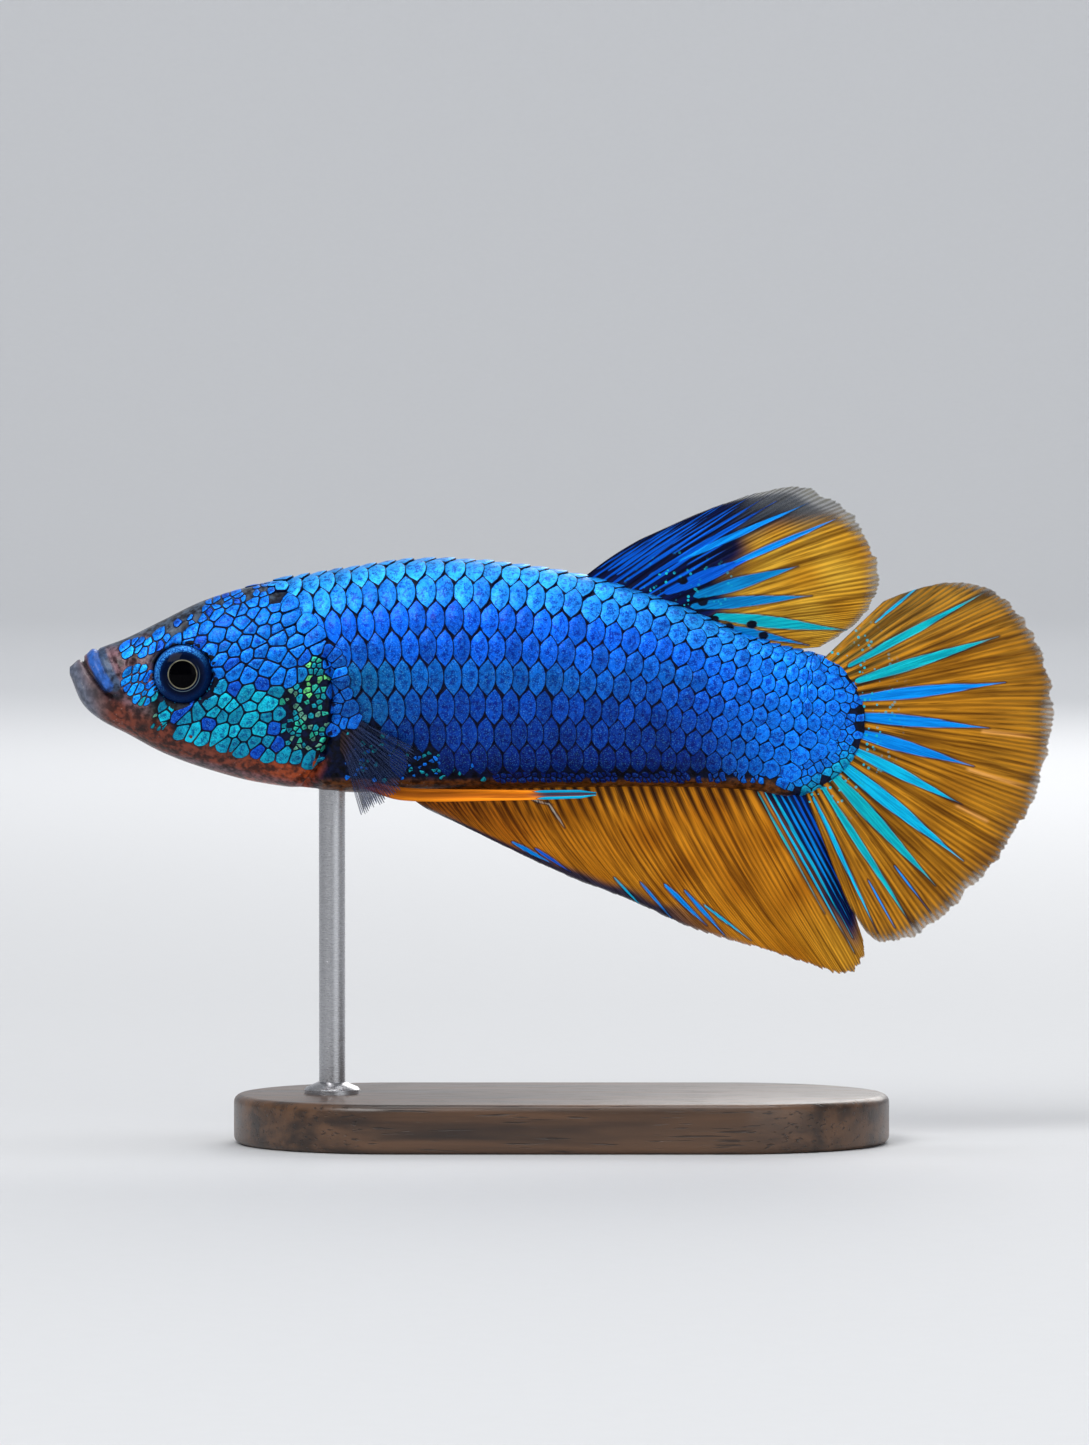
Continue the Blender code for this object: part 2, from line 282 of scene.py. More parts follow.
class Shader:
    """One material and the nodes that feed its Principled BSDF."""

    def __init__(self, name: str) -> None:
        """Start a material.

        Args:
            name: name of the finish.
        """
        self.material = bpy.data.materials.new(name)
        self.material.use_nodes = True
        self.tree = self.material.node_tree
        self.principled = self.tree.nodes["Principled BSDF"]

    def node(self, kind: str, settings: dict | None = None, inputs: dict | None = None) -> bpy.types.Node:
        """Add a node.

        Args:
            kind: the node's type name.
            settings: its properties, which are set first.
            inputs: values or links of its sockets, by name or index.

        Returns:
            The node.
        """
        made = self.tree.nodes.new(kind)
        for name, setting in (settings or {}).items():
            setattr(made, name, setting)
        for name, given in (inputs or {}).items():
            self.feed(made.inputs[name], given)
        return made

    def feed(self, socket: Socket, given: object) -> None:
        """Link a socket to a value, or set its constant.

        Args:
            socket: the input.
            given: a value, an output, a colour or a number.
        """
        if isinstance(given, Value):
            given = given.socket
        if isinstance(given, Socket):
            self.tree.links.new(given, socket)
        elif isinstance(given, tuple) and len(given) == 3 and socket.type == "RGBA":
            socket.default_value = (*given, 1.0)
        else:
            socket.default_value = given

    def surface(self, **sockets: object) -> Material:
        """Set the Principled sockets.

        Args:
            sockets: what each is given, by its name with underscores for spaces.

        Returns:
            The material.
        """
        for name, given in sockets.items():
            self.feed(self.principled.inputs[name.replace("_", " ").title().replace("Ior", "IOR")], given)
        return self.material

    def attribute(self, name: str) -> Value:
        """Read a float attribute of the mesh."""
        node = self.node("ShaderNodeAttribute", {"attribute_name": name})
        return Value(self, node.outputs["Fac"])

    def tint(self, name: str) -> Socket:
        """Read a colour attribute of the mesh."""
        return self.node("ShaderNodeAttribute", {"attribute_name": name}).outputs["Color"]

    def place(self, scale: Sequence[float] = (1, 1, 1)) -> Socket:
        """Object coordinates in millimetres, stretched by scale."""
        raw, stretch = self.node("ShaderNodeTexCoord").outputs["Object"], tuple(part / MM for part in scale)
        return self.node("ShaderNodeVectorMath", {"operation": "MULTIPLY"}, {0: raw, 1: stretch}).outputs[0]

    def parts(self, vector: object) -> list[Value]:
        """The three parts of a vector."""
        node = self.node("ShaderNodeSeparateXYZ", None, {0: vector})
        return [Value(self, output) for output in node.outputs]

    def chart(self, name: str) -> list[Value]:
        """The two coordinates of a UV map."""
        return self.parts(self.node("ShaderNodeUVMap", {"uv_map": name}).outputs[0])[:2]

    def vector(self, first: object, second: object) -> Socket:
        """Join two values into a vector."""
        return self.node("ShaderNodeCombineXYZ", None, {0: first, 1: second}).outputs[0]

    def noise(self, size: float, detail: float = 2.0, vector: object = None) -> Value:
        """Noise between 0 and 1 with features of about size millimetres."""
        sockets = {"Vector": vector or self.place(), "Scale": 1.0 / size, "Detail": detail}
        return Value(self, self.node("ShaderNodeTexNoise", None, sockets).outputs["Fac"])

    def cells(self, size: float) -> Value:
        """Distance from the middles of cells of about size millimetres."""
        node = self.node("ShaderNodeTexVoronoi", None, {"Vector": self.place(), "Scale": 1.0 / size})
        return Value(self, node.outputs["Distance"])

    def scaled(self, colour: object, factor: object) -> Socket:
        """Multiply a colour by a value."""
        sockets = {0: colour, "Scale": factor}
        return self.node("ShaderNodeVectorMath", {"operation": "SCALE"}, sockets).outputs[0]

    def tinted(self, colour: object, factors: Colour) -> Socket:
        """Multiply a colour by three factors."""
        return self.mix(1.0, colour, factors, "MULTIPLY")

    def mix(self, factor: object, first: object, second: object, blend: str = "MIX") -> Socket:
        """Mix two colours; factor 0 gives the first."""
        settings = {"data_type": "RGBA", "blend_type": blend}
        return self.node("ShaderNodeMix", settings, {0: factor, 6: first, 7: second}).outputs[2]

    def bump(self, height: object, depth: float) -> Socket:
        """Normal of a relief whose height 0 to 1 stands for depth millimetres."""
        return self.node("ShaderNodeBump", None, {"Height": height, "Distance": depth * MM}).outputs[0]


# ---- Mesh helpers ----


def finished(
    name: str, bm: BMesh, material: Material, replaces: Iterable[str] = (),
    sharp: float = 180.0,
) -> Piece:
    """Turn a bmesh into a piece that rides on the model's one body.

    Args:
        name: the piece's name.
        bm: its mesh in metres, which is freed.
        material: its finish.
        replaces: CAD nodes that it stands for.
        sharp: angle in degrees past which an edge is sharp.

    Returns:
        The piece.
    """
    mesh = bpy.data.meshes.new(name)
    bm.to_mesh(mesh)
    bm.free()
    mesh.materials.append(material)
    mesh.shade_smooth()
    if sharp < 180.0:
        mesh.set_sharp_from_angle(angle=math.radians(sharp))
    piece = placed(name, mesh)
    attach(piece, ROOT)
    if replaces:
        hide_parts(*replaces)
    LOG.info("%s: %d faces", name, len(mesh.polygons))
    return piece


def spun(profile: Iterable[Sequence[float]], steps: int) -> BMesh:
    """Spin a profile about the upright axis.

    Args:
        profile: its (radius, height) points.
        steps: number of sectors.

    Returns:
        The closed mesh.
    """
    bm = bmesh.new()
    verts = [bm.verts.new((radius, 0.0, height)) for radius, height in profile]
    geom = verts + [bm.edges.new(pair) for pair in zip(verts, verts[1:])]
    bmesh.ops.spin(bm, geom=geom, cent=(0, 0, 0), axis=(0, 0, 1), angle=math.tau, steps=steps, use_merge=True)
    bmesh.ops.remove_doubles(bm, verts=bm.verts, dist=1e-5)
    bmesh.ops.recalc_face_normals(bm, faces=bm.faces)
    return bm


def placed(name: str, content: bpy.types.ID) -> Piece:
    """Put a mesh, a lamp or a camera into the scene.

    Args:
        name: the object's name.
        content: what it shows.

    Returns:
        The object.
    """
    thing = bpy.data.objects.new(name, content)
    bpy.context.scene.collection.objects.link(thing)
    return thing


def grid_index(vert: BMVert, columns: int, rows: int) -> tuple[int, int]:
    """Column and row of a vertex of a unit grid that is centred on the origin."""
    return round((vert.co.x + 0.5) * columns), round((vert.co.y + 0.5) * rows)


# ---- Body surface ----


@dataclass
class BodySurface:
    """The skin's shape as a grid of points, which the coat is wrapped on.

    Flat coordinates are x along the fish and s, the length round the section from the middle of the
    back, negative on the left side, in millimetres.
    """

    # Place along X, height of the back, height of the belly, half the width.
    sections: Knots = (
        (-30.0, 29.05, 28.55, 0.35), (-29.3, 29.65, 26.9, 1.15), (-28.2, 30.2, 25.85, 1.65),
        (-26.5, 30.85, 24.95, 2.1), (-24.3, 31.93, 23.78, 2.55), (-21.8, 33.13, 22.85, 2.95),
        (-18.5, 34.1, 21.98, 3.35), (-13.5, 35.07, 21.4, 3.72), (-8.0, 35.7, 21.4, 3.85),
        (-3.0, 35.38, 21.58, 3.7), (1.5, 34.62, 21.68, 3.3), (6.5, 33.1, 21.7, 2.55),
        (11.5, 30.95, 21.5, 1.75), (14.6, 30.1, 21.1, 1.25), (16.6, 29.55, 22.1, 0.85),
        (17.9, 28.25, 23.4, 0.55), (18.6, 26.55, 25.0, 0.3),
    )
    fullness: float = 0.85
    around: int = 176
    coat_depth: float = 0.13
    bare_depth: float = 0.03
    gill_centre: Pair = (-22.5, 27.0)
    gill_radius: float = 8.45
    eye_centre: Pair = (-23.0, 28.67)
    eye_radius: float = 1.83
    nostril: Pair = (-26.05, 29.34)
    gape: Knots = ((-29.25, 29.6), (-28.88, 28.97), (-28.33, 28.2), (-27.91, 27.65), (-27.45, 27.25))
    upper_lip: Knots = ((-28.6, 30.05), (-28.42, 29.35), (-28.05, 28.55), (-27.6, 27.9))
    lip_crease: Knots = ((-28.33, 30.25), (-28.12, 29.46), (-27.76, 28.6), (-27.3, 27.75))
    jaw_crease: Knots = ((-27.66, 30.4), (-27.3, 29.46), (-26.99, 28.67), (-26.45, 27.6))
    cover_edge: Knots = (
        (-25.6, 26.3), (-24.2, 25.7), (-21.7, 24.9), (-19.9, 24.2), (-17.8, 23.7), (-15.6, 23.3),
    )

    def __post_init__(self) -> None:
        """Work out the grid's points and normals."""
        self.xs = np.concatenate([
            np.linspace(-30.0, -29.3, 10, endpoint=False),
            np.linspace(-29.3, -13.0, 185, endpoint=False),
            np.linspace(-13.0, 14.5, 140, endpoint=False),
            np.linspace(14.5, 18.6, 42),
        ])
        self.back = smooth_curve(self.sections, self.xs, 1)
        self.belly = smooth_curve(self.sections, self.xs, 2)
        self.half_width = smooth_curve(self.sections, self.xs, 3)
        self.middle = (self.back + self.belly) / 2
        self.half_height = (self.back - self.belly) / 2
        self._spread_evenly()
        y, z = self._outline(np.s_[:, None], self.angles)
        base = np.stack([np.broadcast_to(self.xs[:, None], y.shape), y, z], axis=-1)
        normals = self._normals(base)
        self.points = base + normals * self._relief(base, normals)[..., None]
        self.normals = self._normals(self.points)

    def _spread_evenly(self) -> None:
        """Find, for each section, the angles that part its outline into equal lengths."""
        fine = np.linspace(0, 2 * math.pi, 721)
        count = self.around
        self.angles = np.empty((len(self.xs), count))
        self.girth = np.empty(len(self.xs))
        for i in range(len(self.xs)):
            y, z = self._outline(i, fine)
            length = np.concatenate([[0], np.cumsum(np.hypot(np.diff(y), np.diff(z)))])
            self.girth[i] = length[-1]
            self.angles[i] = np.interp(np.arange(count) / count * length[-1], length, fine)

    def _outline(self, which: object, angle: Array) -> tuple[Array, Array]:
        """Outline of sections of the plain body.

        Args:
            which: index of the sections.
            angle: angles round them; 0 is the back, and rising ones go down the right side.

        Returns:
            Places across the body and heights.
        """
        side = np.sin(angle)
        y = self.half_width[which] * np.sign(side) * np.abs(side) ** self.fullness
        return y, self.middle[which] + self.half_height[which] * np.cos(angle)

    def _normals(self, points: Array) -> Array:
        """Outward unit normals of a grid of points.

        Args:
            points: the grid.

        Returns:
            A normal for each point.
        """
        along = np.gradient(points, axis=0)
        across = np.roll(points, -1, axis=1) - np.roll(points, 1, axis=1)
        normal = np.cross(across, along)
        normal /= np.linalg.norm(normal, axis=-1, keepdims=True) + 1e-12
        outward = points - np.stack([self.xs, 0 * self.xs, self.middle], axis=-1)[:, None]
        flip = np.sign(np.sum(normal * outward, axis=(1, 2)))
        normal *= np.where(flip == 0, 1, flip)[:, None, None]
        normal[0] = (-1, 0, 0)
        normal[-1] = (1, 0, 0)
        return normal

    def _relief(self, base: Array, normals: Array) -> Array:
        """Height of lips, lids, nostrils and gill covers over the plain body, less the coat's depth.

        Args:
            base: points of the plain body.
            normals: their normals.

        Returns:
            The heights.
        """
        x, z = base[..., 0], base[..., 2]
        flank = step(0.15, 0.5, np.abs(normals[..., 1]))
        height = -self.bare_depth - (self.coat_depth - self.bare_depth) * self.coated(x, z)
        carvings = (
            (self.gape, -0.42, 0.13, 1.0), (self.upper_lip, 0.14, 0.26, 1.0),
            (self.lip_crease, -0.13, 0.08, 1.0), (self.jaw_crease, -0.1, 0.09, flank),
            (self.cover_edge, -0.08, 0.16, flank),
        )
        for line, rise, width, share in carvings:
            height = height + rise * bell(distance_to_line(x, z, line), width) * share
        features = self._eye_socket(x, z) + self._nostril_relief(x, z) + self._gill_relief(x, z)
        return height + flank * features

    def _eye_socket(self, x: Array, z: Array) -> Array:
        """Hollow for the eyeball, with a low rim of skin."""
        past = np.hypot(x - self.eye_centre[0], z - self.eye_centre[1]) - self.eye_radius
        return 0.1 * bell(past - 0.16, 0.16) - 1.1 * step(0.04, -0.22, past)

    def _nostril_relief(self, x: Array, z: Array) -> Array:
        """A small pit in a low ring."""
        r = np.hypot(x - self.nostril[0], (z - self.nostril[1]) * 0.8)
        return 0.07 * bell(r - 0.26, 0.1) - 0.32 * bell(r, 0.14)

    def gill_distance(self, x: Array, z: Array) -> Array:
        """Distance behind the gill cover's rear edge; it is negative on the cover."""
        return np.hypot(x - self.gill_centre[0], z - self.gill_centre[1]) - self.gill_radius

    def _gill_relief(self, x: Array, z: Array) -> Array:
        """Relief of the gill cover, which stands proud of the groove behind it.

        Args:
            x: places along the fish.
            z: heights.

        Returns:
            The relief.
        """
        d = self.gill_distance(x, z)
        turn = np.degrees(np.arctan2(z - self.gill_centre[1], x - self.gill_centre[0]))
        reach = step(-62, -48, turn) * step(36, 18, turn)
        cover = 0.16 * step(-2.2, -0.15, d) * step(0.06, -0.06, d)
        groove = -0.3 * bell(d - 0.16, 0.22) * step(-0.1, 0.08, d)
        inner = np.hypot(x - self.gill_centre[0] + 0.3, z - self.gill_centre[1] - 0.2) - 4.3
        fold = -0.06 * bell(inner, 0.13) * step(-75, -55, turn) * step(48, 30, turn)
        return (cover + groove) * reach + fold

    def coated(self, x: Array, z: Array) -> Array:
        """Share of coat in the side view: 1 where scales lie, 0 on bare skin."""
        cheek = HEAD.cheek_share(x, z) * step(-25.2, -24.4, x)
        return np.maximum(step(-0.6, 0.2, self.gill_distance(x, z)), cheek) * (1 - self.sheath(x, z))

    def sheath(self, x: Array, z: Array) -> Array:
        """1 on the bare brown skin along the belly, where the anal fin grows."""
        return step(22.35, 22.15, z) * step(-15.0, -14.4, x) * step(14.2, 13.6, x)

    def wrap(self, x: Array, s: Array, height: Array) -> Array:
        """Place flat points on the skin.

        Args:
            x: places along the fish.
            s: lengths round the section from the middle of the back.
            height: distances outwards from the skin.

        Returns:
            Their points in millimetres.
        """
        i, j = self.grid_place(x, s)
        return self._read(self.points, i, j) + self._read(self.normals, i, j) * np.asarray(height)[..., None]

    def plain_wrap(self, x: Array, s: Array) -> Array:
        """Points on the skin for flat points."""
        i, j = self.grid_place(x, s)
        return self._read(self.points, i, j)

    def grid_place(self, x: Array, s: Array) -> tuple[Array, Array]:
        """Fractional grid indices of flat points."""
        i = np.interp(x, self.xs, np.arange(len(self.xs)))
        return i, (s / self.girth_at(x)) % 1.0 * self.around

    def _read(self, table: Array, i: Array, j: Array) -> Array:
        """Read a table between its grid points.

        Args:
            table: the points or the normals.
            i: fractional index along the fish.
            j: fractional index round it.

        Returns:
            The rows read.
        """
        i0 = np.clip(np.floor(i).astype(int), 0, len(self.xs) - 2)
        j0 = np.floor(j).astype(int) % self.around
        j1 = (j0 + 1) % self.around
        u, v = (i - i0)[..., None], (j - np.floor(j))[..., None]
        low = table[i0, j0] * (1 - v) + table[i0, j1] * v
        high = table[i0 + 1, j0] * (1 - v) + table[i0 + 1, j1] * v
        return low * (1 - u) + high * u

    def length_at(self, x: Array, z: Array) -> Array:
        """Length round the section from the middle of the back down to a height.

        Args:
            x: places along the fish.
            z: heights.

        Returns:
            The lengths.
        """
        middle, half = np.interp(x, self.xs, self.middle), np.interp(x, self.xs, self.half_height)
        angle = np.arccos(np.clip((z - middle) / half, -1, 1))
        rows = np.clip(np.searchsorted(self.xs, x), 0, len(self.xs) - 1)
        steps = [np.interp(a, self.angles[i], np.arange(self.around)) for a, i in zip(angle, rows)]
        return np.array(steps) / self.around * self.girth_at(x)

    def girth_at(self, x: Array | float) -> Array:
        """Length round the section at x."""
        return np.interp(x, self.xs, self.girth)


@dataclass
class HeadMap:
    """Where the zones of skin and scales lie in the side view."""

    # Borders: cheek over throat and crown over cheek by (x, z), front of the large scales by (z, x), and
    # top of the black dotted flank behind the pectoral fin by (x, z).
    throat: Knots = (
        (-30.0, 30.0), (-26.4, 26.7), (-25.7, 26.2), (-24.2, 25.55), (-21.7, 24.8), (-19.9, 24.15),
        (-17.8, 23.7), (-14.1, 23.3),
    )
    crown: Knots = (
        (-27.0, 29.9), (-24.2, 30.8), (-22.05, 32.35), (-19.3, 33.4), (-17.0, 34.2), (-15.4, 34.9),
        (-13.0, 36.0),
    )
    front: Knots = (
        (22.0, -11.2), (24.0, -11.9), (26.0, -12.9), (27.5, -13.5), (29.4, -13.8), (30.4, -14.9),
        (31.5, -16.0), (33.0, -17.2), (36.0, -17.8),
    )
    dark: Knots = ((-14.0, 25.9), (-11.0, 25.1), (-8.0, 24.05), (-4.5, 22.9), (-3.0, 22.0))

    # Middle of the tail fin's fan, and how near it the large scales end.
    tail: Pair = (12.8, 26.4)
    tail_reach: float = 4.5

    def cheek_share(self, x: Array, z: Array) -> Array:
        """1 between the throat's and the crown's borders, with soft edges."""
        over_throat = step(-0.3, 0.3, z - straight_curve(self.throat, x))
        return over_throat * step(0.3, -0.3, z - straight_curve(self.crown, x))

    def tail_radius(self, x: Array, z: Array) -> Array:
        """Distance from the middle of the tail fin's fan, or 0 well ahead of it."""
        return np.where(np.asarray(x) < 13.0, 0.0, np.hypot(x - self.tail[0], z - self.tail[1]))


HEAD = HeadMap()


# ---- Finishes ----


@dataclass(frozen=True)
class SkinFinish:
    """Bare skin, mottled and finely granular, with pale glints painted on the grains' tops; the mesh's tint
    attribute holds the zones' colours.
    """

    roughness: float = 0.4
    coat: float = 0.5

    def build(self) -> Material:
        """Make the material.

        Returns:
            The material.
        """
        shader = Shader("skin")
        mottle = shader.noise(0.36, 4.0)
        grains = shader.cells(0.24)
        patchy = shader.noise(0.8, 2.0)
        tint = shader.tint("tint")
        dark = shader.tinted(tint, (0.24, 0.17, 0.18))
        light = shader.tinted(tint, (1.75, 1.6, 1.5))
        colour = shader.mix((mottle * 0.65 + patchy * 0.35).step(0.39, 0.61), dark, light)
        jaw = shader.parts(shader.place())[0].step(-26.8, -28.4)
        colour = shader.mix(jaw * 0.6, colour, tint)
        # Pale specks at the middles of the grains on bare skin: painted glints.
        speck = grains.step(0.22, 0.1) * patchy.step(0.5, 0.62) * shader.attribute("bare")
        colour = shader.mix(speck * 0.35, colour, (0.4, 0.36, 0.34))
        relief = mottle * 0.4 + (1.0 - grains) * 0.6
        return shader.surface(
            base_color=colour, roughness=mottle * 0.25 + (self.roughness - 0.1), specular_ior_level=0.12,
            coat_weight=shader.attribute("bare") * self.coat, coat_roughness=0.15, coat_ior=1.35,
            normal=shader.bump(relief, 0.06),
        )


@dataclass(frozen=True)
class ScaleFinish:
    """Iridescent scales: a bright tinted middle, fine sparkle painted in as pale glints, and a thin dark rim.
    """

    name: str = "scales"
    rim: Colour = (0.0008, 0.004, 0.036)
    sparkle: float = 0.075

    def build(self) -> Material:
        """Make the material, which reads the tint, rim and chance attributes.

        Returns:
            The material.
        """
        shader = Shader(self.name)
        grain = shader.noise(self.sparkle, 3.0)
        blotch = shader.noise(0.22, 2.0)
        drift = shader.noise(0.55, 2.0)
        tint = shader.tint("tint")
        mark = shader.attribute("rim")
        deep = shader.tinted(tint, (0.3, 0.34, 0.58))
        glow = shader.tinted(tint, (1.5, 1.65, 1.35))
        pale = shader.mix(0.22, glow, (0.2, 0.85, 1.0))
        heart = mark.step(1.0, 2.0)
        colour = shader.mix((blotch * 1.2 + grain * 0.8 - heart * 0.2).step(0.6, 1.1), deep, glow)
        # Pale specks where the fine grain peaks: painted sparkle glints.
        colour = shader.mix(grain.step(0.56, 0.68) * 0.75, colour, pale)
        shade = (drift * 0.7 + shader.attribute("chance") * 0.3).step(0.25, 0.7, 0.72, 1.12)
        inside = mark.step(0.15, 0.8)
        colour = shader.mix(inside, self.rim, shader.scaled(colour, shade))
        return shader.surface(
            base_color=colour, metallic=inside * 0.5, roughness=grain * 0.3 + 0.24,
            specular_ior_level=0.1, coat_weight=inside * 0.12, coat_roughness=0.12, coat_ior=1.35,
            normal=shader.bump(grain, 0.022),
        )


@dataclass(frozen=True)
class FinFinish:
    """Rayed membrane: tinted, with ray lines, crisp blue streaks, small beads and a clear fringe."""

    name: str
    rays: float
    line_depth: float = 0.02
    ray_alpha: float = 0.35
    fray: float = 0.024
    bead: Colour = (0.01, 0.5, 0.66)

    def build(self) -> Material:
        """Make the material, which reads the fin's attributes and its FinMap.

        Returns:
            The material.
        """
        shader = Shader(self.name)
        straight, out = shader.chart("FinMap")
        drift = shader.noise(1.0, 1.0, shader.vector(straight * (self.rays * 0.6), out * 1.2))
        along = straight + (drift - 0.5) * (0.5 / self.rays)
        split = shader.attribute("split")
        counts = (self.rays, self.rays * 2.0, self.rays * 4.0)
        once, twice, thrice = (((along * count).fraction() - 0.5).size() * 2.0 for count in counts)
        forked, spread = split.step(0.15, 0.4), split.step(0.45, 0.75)
        inner = self._crest(once) * (1.0 - forked) + self._crest(twice) * forked
        line = inner * (1.0 - spread) + self._crest(thrice) * spread
        crease = once.step(0.78, 0.98).most(twice.step(0.72, 0.98) * forked)
        crease = crease.most(thrice.step(0.66, 0.98) * spread)
        fibre = shader.noise(1.0, 3.0, shader.vector(along * (self.rays * 7.0), out * 5.0))
        hair = shader.noise(1.0, 3.0, shader.vector(along * (self.rays * 1.6), 7.3)).step(0.3, 0.7)
        tint = shader.tint("tint")
        dark = shader.tinted(tint, (0.24, 0.17, 0.12))
        light = shader.tint("vein")
        uneven = shader.noise(1.0, 3.0, shader.vector(along * (self.rays * 2.4), out * 1.1))
        base = shader.mix(uneven.step(0.56, 0.32) * 0.85, tint, dark)
        near = split.step(0.34, 0.08)
        shine = (uneven.step(0.35, 0.6, 0.2, 1.0) + near).least(1.0)
        colour = shader.mix(line * fibre.step(0.3, 0.55, 0.35, 1.0) * shine, base, light)
        deep = fibre.step(0.65, 0.35, 0.0, 0.45) + near * 0.6
        colour = shader.mix((crease * deep).least(1.0), colour, dark)
        colour = shader.mix(fibre.step(0.45, 0.3) * 0.5, colour, dark)
        gleam = shader.tint("gleam")
        dull = shader.tinted(gleam, (0.55, 0.66, 0.76))
        edge = shader.attribute("streak") + (fibre - 0.5) * 0.14
        streak = edge.step(-0.03, 0.05)
        rim = edge.step(-0.14, 0.0) * (1.0 - streak)
        colour = shader.mix(rim * 0.8, colour, (0.002, 0.005, 0.02))
        colour = shader.mix(streak, colour, shader.mix(fibre.step(0.4, 0.6), dull, gleam))
        dots = shader.cells(0.34).step(0.3, 0.22) * shader.attribute("beads")
        colour = shader.mix(dots, colour, self.bead)
        clear = shader.attribute("clear") * (1.0 - line * self.ray_alpha) * (1.0 - streak)
        past = (out + hair * self.fray - 1.0).step(-0.01, 0.0)
        return shader.surface(
            base_color=colour, alpha=(1.0 - clear) * (1.0 - past), metallic=streak * 0.35,
            roughness=fibre * 0.25 + 0.35, specular_ior_level=0.06,
            normal=shader.bump(line * 0.7 + fibre * 0.3, self.line_depth),
        )

    def _crest(self, band: Value) -> Value:
        """Mask of a ray from its band: 0 along its middle, 1 half-way to the next."""
        return band.step(0.75, 0.2)


@dataclass(frozen=True)
class EyeFinish:
    """Wet eye: black pupil in a thin gold ring, dark iris and a blue outer ring, by radius; the ring is
    painted brightest at the upper front, partly as painted light from above.
    """

    centre: Pair
    radius: float

    def build(self) -> Material:
        """Make the material, which reads Object coordinates in the side view.

        Returns:
            The material.
        """
        shader = Shader("eye")
        parts = shader.parts(shader.place())
        x, z = parts[0] - self.centre[0], parts[2] - self.centre[1]
        reach = (x * x + z * z).root() / self.radius
        grain = shader.noise(0.09, 3.0)
        upper = (z * 0.85 - x * 0.53) / self.radius
        gold = (reach - 0.475).size().step(0.026, 0.008) * shader.noise(0.5, 1.0).step(0.3, 0.6, 0.45, 1.0)
        faint = (reach - 0.565).size().step(0.016, 0.004) * upper.step(0.1, -0.5)
        band = (reach + grain * 0.06 - 0.89).size().step(0.12, 0.05)
        # The blue ring is brightest at the upper front and fades below: partly its own colour, partly painted
        # light from above.
        blue = band * upper.step(-0.3, 0.7, 0.03, 1.0)
        colour = shader.mix(reach.step(0.46, 0.5), (0.0003, 0.0003, 0.001), (0.001, 0.004, 0.02))
        colour = shader.mix(reach.step(0.62, 0.8), colour, (0.002, 0.012, 0.065))
        vivid = shader.mix(grain.step(0.42, 0.6), (0.008, 0.07, 0.36), (0.05, 0.34, 0.9))
        colour = shader.mix(blue, colour, vivid)
        colour = shader.mix(reach.step(0.94, 0.99), colour, (0.0006, 0.002, 0.01))
        colour = shader.mix(gold * 0.5, colour, (0.42, 0.4, 0.27))
        colour = shader.mix(faint * 0.5, colour, (0.2, 0.3, 0.36))
        return shader.surface(
            base_color=colour, metallic=blue * 0.3, roughness=0.3, specular_ior_level=0.0,
            coat_weight=0.35, coat_roughness=0.02, coat_ior=1.2, normal=shader.bump(grain, 0.006),
        )


@dataclass(frozen=True)
class WalnutFinish:
    """Satin oiled walnut with grain along X."""

    def build(self) -> Material:
        """Make the material.

        Returns:
            The material.
        """
        shader = Shader("walnut")
        figure = shader.noise(2.6, 3.0, shader.place((0.16, 1.0, 1.0)))
        fibres = (0.05, 1.0, 1.0)
        bent = shader.node("ShaderNodeVectorMath", {"operation": "ADD"}, {0: shader.place(fibres), 1: figure})
        bands = shader.noise(0.9, 4.0, bent.outputs[0])
        pores = shader.noise(0.16, 2.0, shader.place(fibres))
        colour = shader.mix(bands.step(0.32, 0.68), (0.022, 0.01, 0.005), (0.11, 0.052, 0.024))
        colour = shader.mix(figure.step(0.45, 0.75) * 0.5, colour, (0.16, 0.078, 0.036))
        pore = pores.step(0.4, 0.3)
        colour = shader.mix(pore * 0.7, colour, (0.012, 0.006, 0.004))
        return shader.surface(
            base_color=colour, roughness=bands * 0.15 + 0.3, coat_weight=0.25, coat_roughness=0.22,
            normal=shader.bump(1.0 - pore, 0.05),
        )


@dataclass(frozen=True)
class SteelFinish:
    """Brushed steel, with fine rings round an upright rod."""

    name: str = "steel"
    colour: Colour = (0.56, 0.56, 0.58)

    def build(self) -> Material:
        """Make the material.

        Returns:
            The material.
        """
        shader = Shader(self.name)
        brushed = shader.noise(0.12, 2.0, shader.place((0.25, 0.25, 4.0)))
        colour = shader.mix(brushed, tuple(0.8 * part for part in self.colour), self.colour)
        return shader.surface(
            base_color=colour, metallic=1.0, roughness=brushed * 0.2 + 0.18,
            normal=shader.bump(brushed, 0.01),
        )


@dataclass(frozen=True)
class StudioFinish:
    """Plain pale matt floor."""

    colour: Colour = (0.62, 0.63, 0.65)

    def build(self) -> Material:
        """Make the material.

        Returns:
            The material.
        """
        shader = Shader("studio_floor")
        grain = shader.noise(1.5, 3.0)
        darker = tuple(0.97 * part for part in self.colour)
        return shader.surface(base_color=shader.mix(grain, darker, self.colour), roughness=0.75)


# ---- Skin ----


